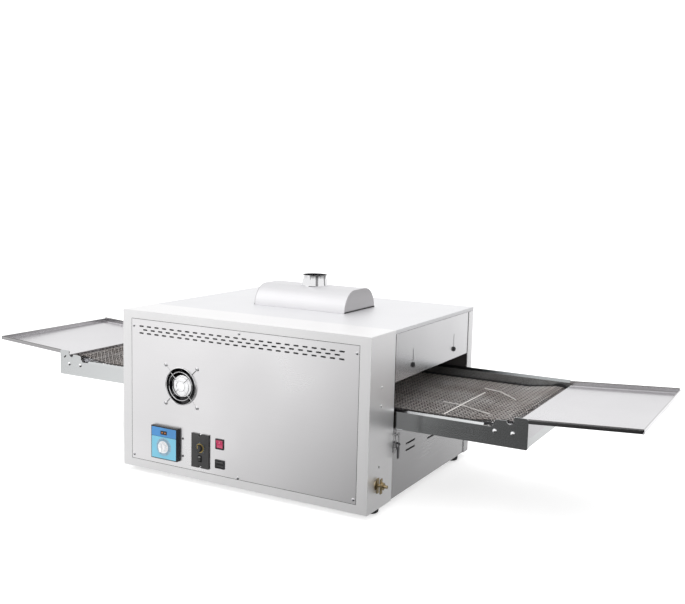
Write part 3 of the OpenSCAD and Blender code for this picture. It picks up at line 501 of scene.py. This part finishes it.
def add_fan():
    """Rotor with seven curved blades round a foil-covered hub, and the wire guard over it."""
    place = middle("fan_rotor")
    lo, hi = node_box("fan_rotor")
    front, depth, tip, hub = lo.y, 27.0, 55.5, 30.0
    axle = (place.x, front, place.z)
    rotor = Piece()
    drum = [(0, 0.4), (hub - 2, 0.4), (hub - 0.5, 1), (hub, 2.5), (hub, depth), (0, depth)]
    rotor.turn(drum, axle, "y", 48)
    foil = [(0, -1.2), (12, -1.15), (22, -0.9), (28, -0.4), (hub - 0.6, 0.5), (0, 0.5)]
    rotor.turn(foil, axle, "y", 48, 1)
    rotor.turn([(2, depth - 1), (2, hi.y - front), (0, hi.y - front)], axle, "y", 16)
    blades, steps = 7, 6
    bow = ((-1, 0), (-0.5, 1.5), (0.1, 2.1), (1, 0.35), (1, -0.1), (0.1, 1.1), (-0.5, 0.6))
    for i in range(blades):
        rings = []
        for share in (k / steps for k in range(steps + 1)):
            r = hub - 1.5 + (tip - hub + 1.5) * share
            sweep = math.radians(i * 360 / blades + 16 * share)
            pitch = math.radians(48 - 16 * share)
            half = 11.5 - 1.5 * share
            radial = Vector((math.cos(sweep), 0, math.sin(sweep)))
            around = Vector((-math.sin(sweep), 0, math.cos(sweep)))
            chord = around * math.cos(pitch) + Vector((0, 1, 0)) * math.sin(pitch)
            thick = chord.cross(radial)
            centre = Vector((place.x, front + 14, place.z)) + radial * r
            rings.append([centre + chord * a * half + thick * b for a, b in bow])
        rotor.rings(rings)
    rotor.make("fan_blades", "fan", [fan_plastic, fan_foil], ("fan_rotor",), "black_plastic")

    lo, hi = node_box("fan_guard")
    guard = Piece()
    y = lo.y + 2.1
    reach = (hi.x - lo.x) / 2 - 5
    for r, thick in ((14, 0.7), (27, 0.8), (39, 1.0), (50, 1.1)):
        guard.wire([(place.x + a, y, place.z + b) for a, b in arc(0, 0, r, 0, 354.375, 63)], thick, 8, True)
    for sx in (-1, 1):
        for sz in (-1, 1):
            out = Vector((sx, 0, sz)).normalized()
            eye = Vector((place.x + sx * reach, y + 2, place.z + sz * reach))
            leg = Vector((place.x, y + 1.6, place.z))
            bend = leg + out * 62 + Vector((0, 0.3, 0))
            guard.wire([leg + out * 12, leg + out * 56, bend, eye - out * 5], 0.9)
            guard.wire([(eye.x + a, eye.y, eye.z + b) for a, b in arc(0, 0, 4.3, 0, 345, 23)], 1.1, 8, True)
            screw(guard, (eye.x, y + 2.4, eye.z), "y", -1, 3.9, 2.3, 1, 2)
    guard.make("fan_finger_guard", "oven", [polished, screw_steel, ink_and_recess_shade], ("fan_guard",), "polished_steel")


fan_plastic = cast("fan_plastic", (0.06, 0.06, 0.063), 0.4, 900, 0.15, 3e-5)
fan_foil = cast("fan_hub_foil", (0.92, 0.92, 0.93), 0.36, 160, 0.06, 2e-5, metal=0.1)
screw_steel = cast("screw_steel", (0.72, 0.72, 0.73), 0.25, 300, 0.1, 2e-5, metal=1.0)
add_fan()

# ---------------------------------------------------------------- controls

header_print = cast("header_print", (0.045, 0.22, 0.50), 0.35, 900, 0.1, 1e-5, Coat_Weight=0.25)
body_print = cast("body_print", (0.16, 0.46, 0.61), 0.35, 900, 0.07, 1e-5, Coat_Weight=0.25)
scale_grey = cast("scale_grey", (0.24, 0.38, 0.48), 0.4, 900, 0.12, 1e-5)
lamp_amber = cast("lamp_amber", (0.60, 0.18, 0.03), 0.2, 300, 0.1, 1e-5, Coat_Weight=0.5)
knob_white = cast("knob_white", (0.78, 0.78, 0.79), 0.28, 400, 0.03, 2e-5, Coat_Weight=0.4)
knob_black = cast("knob_black", (0.02, 0.02, 0.021), 0.35, 700, 0.2, 3e-5, Coat_Weight=0.2)
knob_mark = cast("knob_mark", (0.42, 0.31, 0.11), 0.35, 500, 0.15, 1e-5, metal=0.5)
rocker_red = cast("rocker_red", (0.44, 0.035, 0.10), 0.25, 500, 0.08, 2e-5, Coat_Weight=0.5)


def ticks(piece, centre, radii, count, reach, width, material, major=5):
    """Raised radial marks on a face that looks to -Y. Every major one ends at the largest radius."""
    for i in range(count):
        a = math.radians(reach * (2 * i / (count - 1) - 1))
        out = Vector((math.sin(a), 0, math.cos(a)))
        side = Vector((math.cos(a), 0, -math.sin(a))) * width * (0.5 if i % major else 0.75)
        near, far = Vector(centre) + out * radii[0], Vector(centre) + out * radii[1 if i % major else 2]
        quad = [near - side, near + side, far + side, far - side]
        piece.rings([quad, [v + Vector((0, 0.3, 0)) for v in quad]], material=material)


def slab(piece, lo, hi, y0, y1, r, material=0):
    """A plate with round corners that faces -Y; lo and hi are corners in X and Z."""
    piece.prism([(z, x) for x, z in rounded(lo, hi, r)], "y", y0, y1, material)


def add_controller():
    """Face plate with a window for two lamps and a scale, and its finger knob."""
    lo, hi = node_box("controller_face")
    knob = middle("temperature_knob")
    y = lo.y
    face = Piece()
    slab(face, (lo.x, lo.z), (hi.x, hi.z), y + 0.2, hi.y, 3.0)
    split = lo.z + (hi.z - lo.z) * 0.70
    slab(face, (lo.x + 1.2, split + 0.4), (hi.x - 1.2, hi.z - 1.2), y, y + 0.5, 1.6, 1)
    slab(face, (lo.x + 1.2, lo.z + 1.2), (hi.x - 1.2, split - 0.4), y, y + 0.5, 1.6, 2)
    slab(face, (knob.x - 11, split + 6), (knob.x + 11, split + 17), y - 0.35, y + 0.4, 1.2)
    for x in (knob.x - 5, knob.x + 5):
        face.turn([(0, -1.1), (1.6, -0.9), (2.1, 0), (0, 0)], (x, y - 0.3, split + 11.5), "y", 20, 3)
    face.turn([(0, -0.12), (25, -0.12), (25, 0.3), (0, 0.3)], (knob.x, y, knob.z), "y", 64, 4)
    ticks(face, (knob.x, y - 0.24, knob.z), (19.2, 22.0, 24.2), 41, 150, 0.55, 5)
    face.make("controller_face_plate", "oven",
              [black_plastic, header_print, body_print, lamp_amber, scale_grey, ink_and_recess_shade],
              ("controller_face",), "blue_label", edge=0.15)

    front, back = node_box("temperature_knob")[0].y, node_box("temperature_knob")[1].y
    place = (knob.x, y - 0.5, knob.z)
    dial = Piece()
    skirt = [(0, 0), (16.6, 0), (17, -0.8), (17, -2.6), (16.2, -3.4), (0, -3.4)]
    dial.turn(skirt, place, "y", flutes=36, depth=0.35)
    dial.turn([(12.2, -3.2), (12, -7.5), (10.8, -9.6), (9, -10.4), (0, -10.6)], place, "y", 48)
    dial.turn([(3, back - place[1]), (3, -1), (0, -1)], place, "y", 24)
    slab(dial, (knob.x - 3.4, knob.z - 11), (knob.x + 3.4, knob.z + 11), front, place[1] - 9, 3.3)
    slab(dial, (knob.x - 0.5, knob.z + 2), (knob.x + 0.5, knob.z + 10.2), front - 0.08, front + 1, 0.4, 1)
    ticks(dial, (knob.x, place[1] - 3.5, knob.z), (13.4, 15.0, 15.9), 31, 150, 0.4, 1)
    dial.make("temperature_dial_knob", "temperature_dial", [knob_white, ink_and_recess_shade], ("temperature_knob",),
              "white_plastic", edge=0.3)


def add_speed_control():
    """Fluted speed knob, its scale, and the toggle switch below it."""
    lo, hi = node_box("speed_knob")
    y = node_box("speed_plate")[0].y
    place = ((lo.x + hi.x) / 2, y, lo.z + (hi.x - lo.x) / 2)
    knob = Piece()
    grip = [(0, -0.5), (10, -0.5), (10, -5), (9.2, -9.6), (8.2, -10.8), (0, -10.9)]
    knob.turn(grip, place, "y", flutes=24, depth=0.45)
    knob.turn([(3, hi.y - y), (3, -1), (0, -1)], place, "y", 20)
    slab(knob, (place[0] - 0.9, place[2] + 1), (place[0] + 0.9, place[2] + 9), y - 11.4, y - 10, 0.6, 1)
    knob.make("speed_dial_knob", "speed_dial", [knob_black, knob_mark], ("speed_knob",),
              "black_plastic", edge=0.2)
    marks = Piece()
    marks.turn([(11.4, -0.2), (12.6, -0.2), (12.6, 0.2), (11.4, 0.2)], place, "y", 48, 1)
    ticks(marks, (place[0], y - 0.15, place[2]), (13.6, 15.2, 16.8), 11, 135, 0.6, 0)
    marks.make("speed_scale_marks", "oven", [scale_grey, knob_mark])

    lo, hi = node_box("run_toggle")
    centre = middle("run_toggle")
    toggle = Piece()
    slab(toggle, (lo.x + 1, centre.z - 6.4), (hi.x - 1, centre.z + 6.4), lo.y + 1.2, hi.y - 3, 1.4)
    for k in range(-2, 3):
        z = centre.z + k * 2.2
        toggle.box((lo.x + 1.2, lo.y + 0.5, z - 0.6), (hi.x - 1.2, lo.y + 1.6, z + 0.6))
    # The white bar along the lever's top edge is a painted highlight.
    toggle.box((lo.x + 1.6, lo.y + 0.4, centre.z + 4.9), (hi.x - 1.6, lo.y + 1.4, centre.z + 5.8), 1)
    toggle.turn([(2.5, lo.x), (2.5, hi.x), (0, hi.x)], (0, lo.y + 8.5, centre.z), "x", 20)
    toggle.make("run_toggle_lever", "run_switch", [knob_black, white_plastic], ("run_toggle",),
                "black_plastic", edge=0.25)


def add_rocker(rocker, bezel, body, material, slot):
    """A dished rocker with an on mark, in a rim that frames it closely."""
    lo, hi = node_box(bezel)
    centre = (lo + hi) / 2
    wide, high = (hi.x - lo.x) / 2, (hi.z - lo.z) / 2
    front = lo.y + 2.5
    deepest = front + 12

    def outline(inset, r):
        return rounded((centre.x - wide + inset, centre.z - high + inset),
                       (centre.x + wide - inset, centre.z + high - inset), r)

    outer, inner, wall = outline(0, 2.0), outline(2.7, 0.8), outline(2.5, 0.8)
    lines = ((outer, front), (outer, lo.y + 0.6), (inner, lo.y),
             (inner, deepest), (wall, deepest), (wall, front))
    rim = Piece()
    rim.rings([[Vector((x, y, z)) for x, z in line] for line, y in lines], closed=True)
    rim.box((centre.x - wide + 3, deepest, centre.z - high + 3),
            (centre.x + wide - 3, hi.y, centre.z + high - 3))
    for x in (centre.x - 5, centre.x, centre.x + 5):
        rim.box((x - 1.2, hi.y - 0.2, centre.z - 3), (x + 1.2, hi.y + 6, centre.z + 3), 1)
    rim.make(bezel + "_rim", "oven", [black_plastic, screw_steel], (bezel,), "black_plastic", edge=0.2)

    half_w, half_h = wide - 2.9, high - 3.0
    low, proud, deep = front - 1.0, front - 4.6, front + 3.0

    def end(y):
        """Half the cap's height at that depth, so that its ends turn about the pin clear of the rim."""
        return math.sqrt(half_h ** 2 - (deep - y) ** 2)

    steps = 8
    dish = [(-end(y), y) for y in (deep, front + 1, low)]
    for k in range(1, steps):
        share = k / steps
        sag = 1.6 * math.sin(math.pi * share)
        dish.append((-end(low) + (end(low) + end(proud)) * share, low + (proud - low) * share + sag))
    dish += [(end(y), y) for y in (proud, front - 2.6, front - 0.6, front + 1.2, deep)]
    dish += [(half_h * 0.55, front + 6), (-half_h * 0.55, front + 6)]
    cap = Piece()
    cap.prism([(y, centre.z + z) for z, y in dish], "x", centre.x - half_w, centre.x + half_w)
    slab(cap, (centre.x - 0.5, centre.z + half_h * 0.3), (centre.x + 0.5, centre.z + half_h * 0.6),
         front - 3.5, front - 1.8, 0.3, 1)
    cap.make(rocker + "_cap", body, [material, white_plastic], (rocker,), slot, edge=0.35)


add_controller()
add_speed_control()
add_rocker("power_rocker", "power_bezel", "power_switch", rocker_red, "red_plastic")
add_rocker("heater_rocker", "heater_bezel", "heater_switch", knob_black, "black_plastic")

# ---------------------------------------------------------------- fixings


def add_panel_screws():
    """Three screws along the front panel's top edge and three along its bottom edge."""
    lo, hi = node_box("front_panel")
    back = node_box("panel_screws")[1].y
    x0, x1, mid, top, low = lo.x + 6.8, hi.x - 6.8, (lo.x + hi.x) / 2, hi.z + 1.2, lo.z - 1.2
    upper = ((x0, top - 20), (mid + 3, top - 8), (x1, top - 20))
    lower = ((x0, low + 12), (mid + 4, low + 5), (x1, low + 12))
    heads = Piece()
    for x, z in upper + lower:
        screw(heads, (x, lo.y, z), "y", -1, 4.0, 2.0)
        heads.turn([(1.6, 0), (1.6, back - lo.y), (0, back - lo.y)], (x, lo.y, z), "y", 12)
    heads.make("panel_screw_heads", "oven", [screw_steel, ink_and_recess_shade], ("panel_screws",), "polished_steel")


def add_control_screws():
    """Two dark screws beside the controller, and two light ones in the notches of the speed plate."""
    face = node_box("front_panel")[0].y
    back = node_box("control_screws")[1].y
    case_lo, case_hi = node_box("controller_case")
    plate_lo, plate_hi = node_box("speed_plate")
    x, z = case_hi.x + 12, (case_lo.z + case_hi.z) / 2
    heads = Piece()
    shank = [(1.6, 0), (1.6, back - face), (0, back - face)]
    for place in ((x, face, z + 20), (x, face, z - 28)):
        screw(heads, place, "y", -1, 3.0, 1.8, 1)
        heads.turn(shank, place, "y", 12)
    x = (plate_lo.x + plate_hi.x) / 2
    for z in (plate_lo.z + 2.5, plate_hi.z - 2.5):
        screw(heads, (x, face, z), "y", -1, 3.2, 2.2)
        heads.turn(shank, (x, face, z), "y", 12)
    heads.make("control_screw_heads", "oven", [bright_head, dark_metal_and_recess_shade], ("control_screws",),
               "polished_steel")


def add_rail_bolts():
    """Domed bolts through each rail and its bearing blocks, four at each rail."""
    lo, hi = node_box("rail_bolts")
    z = (lo.z + hi.z) / 2
    bolts = Piece()
    head = ((0, 0), (5.5, 0), (5.5, 0.8), (5.1, 2.0), (3.9, 3.1), (2.2, 3.8), (0, 4))
    for x in (lo.x + 5.5, lo.x + 50.5, hi.x - 50.5, hi.x - 5.5):
        for y, way, length in ((lo.y + 4, -1, 12), (hi.y - 4, 1, 10)):
            bolts.turn([(r, way * d) for r, d in head], (x, y, z), "y", 32)
            bolts.turn([(3, way * 0.5), (3, -way * length), (0, -way * length)], (x, y, z), "y", 16)
    bolts.make("rail_bolt_heads", "oven", [bright_head], ("rail_bolts",), "polished_steel")


def add_gate_knobs():
    """Knurled thumb screws, two on each gate."""
    lo, hi = node_box("gate_knobs")
    z = (lo.z + hi.z) / 2
    for side, way, base in (("right", 1, hi.x - 5.5), ("left", -1, lo.x + 5.5)):
        knobs = Piece()
        for y in (lo.y + 6.5, hi.y - 6.5):
            place = (base, y, z)
            rim = [(0, 0), (6.1, 0), (6.5, way * 0.5), (6.5, way * 3.4), (6.0, way * 4), (0, way * 4)]
            knobs.turn(rim, place, "x", flutes=22, depth=0.5)
            knobs.turn([(4.0, way * 3.9), (3.9, way * 5.0), (3.3, way * 5.5), (0, way * 5.5)], place, "x", 32)
            knobs.turn([(1.8, -way * 8), (1.8, way), (0, way)], place, "x", 16)
        knobs.make("gate_thumb_screws_" + side, "oven", [knob_dark], ("gate_knobs",), "black_plastic",
                   edge=0.15)


def add_rivets():
    """Small domed rivets on the sides of the control compartment, and screws on the back panel."""
    lo, hi = node_box("control_shell")
    rivets = Piece()
    head = ((0, -0.5), (3.2, -0.5), (3.2, 0.4), (2.4, 1.1), (1, 1.45), (0, 1.5))
    for x, way in ((lo.x, -1), (hi.x, 1)):
        for z in RIVET_Z:
            rivets.turn([(r, way * d) for r, d in head], (x, RIVET_Y, z), "x", 24)
    back_lo, back_hi = node_box("back_panel")
    for x in (back_lo.x + 14, (back_lo.x + back_hi.x) / 2, back_hi.x - 14):
        for z in (back_lo.z + 16, back_hi.z - 22):
            screw(rivets, (x, back_hi.y, z), "y", 1, 3.6, 1.8)
    rivets.make("casing_rivets", "oven", [bright_head, ink_and_recess_shade], (), "polished_steel")


def add_vent_screens():
    """Black perforated strips behind the slots in both sides."""
    for name in ("side_panel_left", "side_panel_right"):
        lo, hi = node_box(name)
        inner, way = (lo.x, -1) if name.endswith("right") else (hi.x, 1)
        screens = Piece()
        for y in VENT_Y:
            near, far = sorted((inner + way * 0.6, inner + way * 1.4))
            screens.box((near, y - 33, VENT_Z[1] - 8), (far, y + 33, VENT_Z[0] + 8))
            for k in range(-7, 8):
                near, far = sorted((inner + way * 0.1, inner + way * 0.8))
                screens.box((near, y + k * 4.4 - 0.7, VENT_Z[1] - 7), (far, y + k * 4.4 + 0.7, VENT_Z[0] + 7))
        screens.make("vent_screens_" + name[11:], "oven", [rubber_and_painted_shadow], (), "rubber_black")


def add_gaps_and_shadow_strips():
    """Black strips in the gaps round the front panel, and painted shadow strips beside the gates and under
    the hood's ends.
    """
    strips = Piece()
    lo, hi = node_box("front_panel")
    near, far, gap, clear = lo.y + 0.15, hi.y, 1.2, 0.15
    for z in (lo.z - gap + clear, hi.z + clear):
        strips.box((lo.x - gap + clear, near, z), (hi.x + gap - clear, far, z + gap - 2 * clear))
    for x in (lo.x - gap + clear, hi.x + clear):
        strips.box((x, near, lo.z - clear), (x + gap - 2 * clear, far, hi.z + clear))
    # Painted shadow: dark strips along both upright edges of each gate.
    for side in ("left", "right"):
        lo, hi = node_box("gate_" + side)
        out, inn = (hi.x, hi.x - 1.6) if side == "right" else (lo.x, lo.x + 1.6)
        for y in (lo.y - 1.9, hi.y + 0.3):
            strips.box((min(out, inn), y, lo.z - 36), (max(out, inn), y + 1.6, hi.z))
    # Painted shadow: a dark strip under each of the hood's end caps.
    lo, hi = node_box("hood_end_caps")
    for x in (lo.x - 2, hi.x):
        strips.box((x, lo.y + 1, lo.z), (x + 2, hi.y - 1, lo.z + 3))
    strips.make("casing_gaps_and_shadow_strips", "oven", [rubber_and_painted_shadow], (), "rubber_black")


RIVET_Y = -262.0
RIVET_Z = (323.1, 276.6)
VENT_Y = (-78.0, 60.0, 198.0)   # middles of the slots in each side
VENT_Z = (143.0, 125.0)         # heights of the upper and the lower slots
bright_head = cast("bright_head", (0.86, 0.86, 0.87), 0.16, 300, 0.05, 1e-5, metal=1.0)
knob_dark = cast("knob_dark", (0.05, 0.05, 0.052), 0.38, 600, 0.2, 4e-5, metal=0.5)
add_panel_screws()
add_control_screws()
add_rail_bolts()
add_gate_knobs()
add_rivets()
add_vent_screens()
add_gaps_and_shadow_strips()

# ---------------------------------------------------------------- trays

TRAY_THICK = 1.2
TRAY_RISE = math.atan2(18, 296)
TRAY_HEIGHT = 262.0             # of the floor at its inner end
HOOK_FOOT = 253.5               # how low the hook over the rod reaches
FLANGE_FOOT = 226.0             # how low the flange in front of the end plate reaches
HEM_R = 1.35
BEND_R = 2.2


def folded(path, thick):
    """The outline of a sheet whose outer face follows the path and whose body is on its left."""
    inner = []
    for i, p in enumerate(path):
        a, b = path[max(i - 1, 0)], path[min(i + 1, len(path) - 1)]
        along = Vector((b[0] - a[0], b[1] - a[1])).normalized()
        inner.append((p[0] - along.y * thick, p[1] + along.x * thick))
    return list(path) + inner[::-1]


def add_tray(side):
    """A folded sheet with hemmed lips, a hook over the rod and a flange in front of the end plate.

    Its finishes are 0 on the floor, 1 on the hems and inside the near lip, 2 on the far and the end
    lip, and 3 outside the near lip. Finishes 1, 2 and 3 are darker copies of the floor's steel, as
    painted shade, the darkest on the hems and inside the near lip.
    """
    lo, hi = node_box("tray_" + side)
    near, far = lo.y, hi.y
    inner_x = min(abs(lo.x), abs(hi.x)) + 0.2
    length = (max(abs(lo.x), abs(hi.x)) - inner_x) / math.cos(TRAY_RISE) - 1.0
    low_lip, high_lip = 12.0, 16.0
    path = [(near + 2 * HEM_R, low_lip - 7)] + arc(near + HEM_R, low_lip - HEM_R, HEM_R, 0, 180, 8)
    path += arc(near + BEND_R, BEND_R, BEND_R, 180, 270, 5) + arc(far - BEND_R, BEND_R, BEND_R, 270, 360, 5)
    path += arc(far - HEM_R, high_lip - HEM_R, HEM_R, 0, 180, 8) + [(far - 2 * HEM_R, high_lip - 7)]
    tray = Piece()
    tray.prism(folded(path, TRAY_THICK), "x", 0, length - BEND_R)
    end = [(length - BEND_R, 0)] + arc(length - BEND_R, BEND_R, BEND_R, 270, 360, 5)
    end += arc(length - HEM_R, low_lip - HEM_R, HEM_R, 0, 180, 8) + [(length - 2 * HEM_R, low_lip - 7)]
    tray.prism([(z, x) for x, z in folded(end, TRAY_THICK)], "y", near, far)
    # The hems and lips take darker copies of the tray's steel: painted shade.
    for k, face in enumerate(tray.faces):
        mid = sum((Vector(tray.verts[i]) for i in face), Vector()) / len(face)
        if mid.z > BEND_R + 0.1 and mid.x < length - 0.05:
            hem = mid.z > (high_lip if mid.y > 0 else low_lip) - 2 * HEM_R
            wall = 3 if mid.y < near + 0.05 else 2 if mid.x > length - 9 or mid.y > far - 9 else 1
            tray.marks[k] = 1 if hem else wall
    tilt = Matrix.Translation((inner_x, 0, TRAY_HEIGHT)) @ Matrix.Rotation(-TRAY_RISE, 4, "Y")
    tray.verts = [tuple(tilt @ Vector(v)) for v in tray.verts]
    tray.box((inner_x - 0.2, near, HOOK_FOOT), (inner_x + 1.2, far, TRAY_HEIGHT + 1))
    rail_end = node_box("near_rail")[1].x
    tray.box((rail_end - 2.7, near, FLANGE_FOOT), (rail_end - 1.5, far, TRAY_HEIGHT + 2.4))
    if side == "left":
        tray.verts = [(-x, y, z) for x, y, z in tray.verts]
    tray.make("tray_sheet_" + side, side + "_tray",
              [tray_steel, lip_dark_painted_shade, end_lip_painted_shade, lip_face_painted_shade],
              ("tray_" + side,), "polished_steel", edge=0.2)


add_tray("left")
add_tray("right")

# ---------------------------------------------------------------- stage

AZIMUTH = math.radians(28.66)
ELEVATION = math.radians(7.66)
ROLL = math.radians(1.42)
EYE = Vector((1.392, -2.281, 0.833))
FLOOR_HALF = 40.0
DOME_R = 30.0


def add_camera():
    """A camera in front of the oven's right end, rolled a little to one side."""
    back = Vector((
        math.sin(AZIMUTH) * math.cos(ELEVATION),
        -math.cos(AZIMUTH) * math.cos(ELEVATION),
        math.sin(ELEVATION),
    ))
    right = Vector((math.cos(AZIMUTH), math.sin(AZIMUTH), 0.0))
    up = back.cross(right)
    level, lift = right.copy(), up.copy()
    right = level * math.cos(ROLL) + lift * math.sin(ROLL)
    up = lift * math.cos(ROLL) - level * math.sin(ROLL)
    data = bpy.data.cameras.new("camera")
    data.lens = 49.40
    data.sensor_width = 36.0
    data.clip_end = 200.0
    camera = bpy.data.objects.new("camera", data)
    turn = Matrix((right, up, back)).transposed().to_4x4()
    camera.matrix_world = Matrix.Translation(EYE) @ turn
    bpy.context.scene.collection.objects.link(camera)
    bpy.context.scene.camera = camera


def add_floor():
    """White paper under the oven, left out of what the bare metal mirrors."""
    corners = [(x * FLOOR_HALF, y * FLOOR_HALF, 0) for x, y in ((-1, -1), (1, -1), (1, 1), (-1, 1))]
    mesh = bpy.data.meshes.new("floor")
    mesh.from_pydata(corners, [], [(0, 1, 2, 3)])
    floor = bpy.data.objects.new("floor", mesh)
    bpy.context.scene.collection.objects.link(floor)
    mesh.materials.append(cast("floor_paper", (0.95, 0.95, 0.95), 0.9, 40, 0.003, 1e-6, Emission_Strength=0.5,
                               Emission_Color=(1.0, 1.0, 1.0, 1.0)))
    floor.visible_glossy = False


def add_backdrop():
    """A plain white dome behind everything, which only the camera sees."""
    made = bmesh.new()
    bmesh.ops.create_uvsphere(made, u_segments=48, v_segments=24, radius=DOME_R)
    mesh = bpy.data.meshes.new("backdrop")
    made.to_mesh(mesh)
    made.free()
    dome = bpy.data.objects.new("backdrop", mesh)
    bpy.context.scene.collection.objects.link(dome)
    paper = Shader("backdrop_white", Base_Color=(0, 0, 0, 1), Emission_Color=(1, 1, 1, 1),
                   Emission_Strength=1.1)
    mesh.materials.append(paper.material)
    for rays in ("diffuse", "glossy", "transmission", "volume_scatter", "shadow"):
        setattr(dome, "visible_" + rays, False)


def add_light(name, place, aim, size, power):
    """A round, soft, white light that faces a place."""
    data = bpy.data.lights.new(name, "AREA")
    data.shape = "DISK"
    data.size = size
    data.energy = power
    light = bpy.data.objects.new(name, data)
    light.location = place
    light.rotation_euler = (Vector(aim) - Vector(place)).to_track_quat("-Z", "Y").to_euler()
    bpy.context.scene.collection.objects.link(light)


def add_world():
    """A white studio whose lower half has dark stretches, for the bare metal to mirror."""
    world = bpy.data.worlds.new("studio")
    world.use_nodes = True
    tree = world.node_tree
    tree.nodes.clear()

    def join(value, socket):
        if isinstance(value, bpy.types.NodeSocket):
            tree.links.new(value, socket)
        else:
            socket.default_value = value

    def calc(operation, a, b=0.0):
        made = tree.nodes.new("ShaderNodeMath")
        made.operation = operation
        join(a, made.inputs[0])
        join(b, made.inputs[1])
        return made.outputs[0]

    def span(value, start, end, low, high):
        made = tree.nodes.new("ShaderNodeMapRange")
        made.interpolation_type = "SMOOTHSTEP"
        sockets = ("Value", "From Min", "From Max", "To Min", "To Max")
        for socket, given in zip(sockets, (value, start, end, low, high)):
            join(given, made.inputs[socket])
        return made.outputs[0]

    axes = tree.nodes.new("ShaderNodeSeparateXYZ")
    tree.links.new(tree.nodes.new("ShaderNodeTexCoord").outputs["Generated"], axes.inputs[0])
    x, y, z = axes.outputs
    back = span(y, -0.05, 0.05, 0.0, 1.0)
    low = span(z, -0.12, -0.02, 1.0, 0.0)

    # Below the horizon it is white on the front left, dark on the front right, bright behind, and
    # dark on the right behind.
    ahead = span(calc("SUBTRACT", calc("MULTIPLY", z, 0.75), x), 0.205, 0.325, 0.10, 1.0)
    ahead = calc("MULTIPLY", ahead, span(x, -0.73, -0.65, 0.76, 1.0))
    ahead = calc("MULTIPLY", ahead, span(x, -0.275, -0.22, 1.0, 0.35))
    turn = calc("SUBTRACT", x, z)
    behind = calc("MULTIPLY", span(turn, 0.38, 0.50, 1.35, 0.92), span(turn, 0.52, 0.66, 1.0, 0.26))
    below = calc("ADD", calc("MULTIPLY", ahead, calc("SUBTRACT", 1.0, back)), calc("MULTIPLY", behind, back))

    # Above it is white. Three dark strips stand upright, at an azimuth and half a width in degrees.
    sky = span(z, 0.22, 0.55, 1.0, 0.92)
    level = calc("ADD", calc("MULTIPLY", below, low), calc("MULTIPLY", sky, calc("SUBTRACT", 1.0, low)))
    for azimuth, half in ((48, 10), (-12, 3), (127, 6)):
        a = math.radians(azimuth)
        toward = calc("SUBTRACT", calc("MULTIPLY", x, math.sin(a)), calc("MULTIPLY", y, math.cos(a)))
        outer, inner = (math.cos(math.radians(half * share)) for share in (1.6, 0.7))
        strip = span(toward, outer, inner, 0.0, 0.75)
        strip = calc("MULTIPLY", strip, span(z, 0.18, 0.32, 1.0, 0.0))
        level = calc("MULTIPLY", level, calc("SUBTRACT", 1.0, strip))
    background = tree.nodes.new("ShaderNodeBackground")
    tree.links.new(calc("MULTIPLY", level, 1.06), background.inputs["Strength"])
    tree.links.new(background.outputs[0], tree.nodes.new("ShaderNodeOutputWorld").inputs["Surface"])
    background.inputs["Color"].default_value = (1.0, 1.0, 1.0, 1.0)
    bpy.context.scene.world = world


add_camera()
add_floor()
add_backdrop()
add_world()
add_light("key", (-1.8, -2.2, 2.6), (0, 0, 0.2), 4.0, 24)
add_light("overhead", (0.3, 0.6, 3.0), (0, 0, 0), 2.6, 8)
bpy.context.scene.view_settings.view_transform = "Standard"
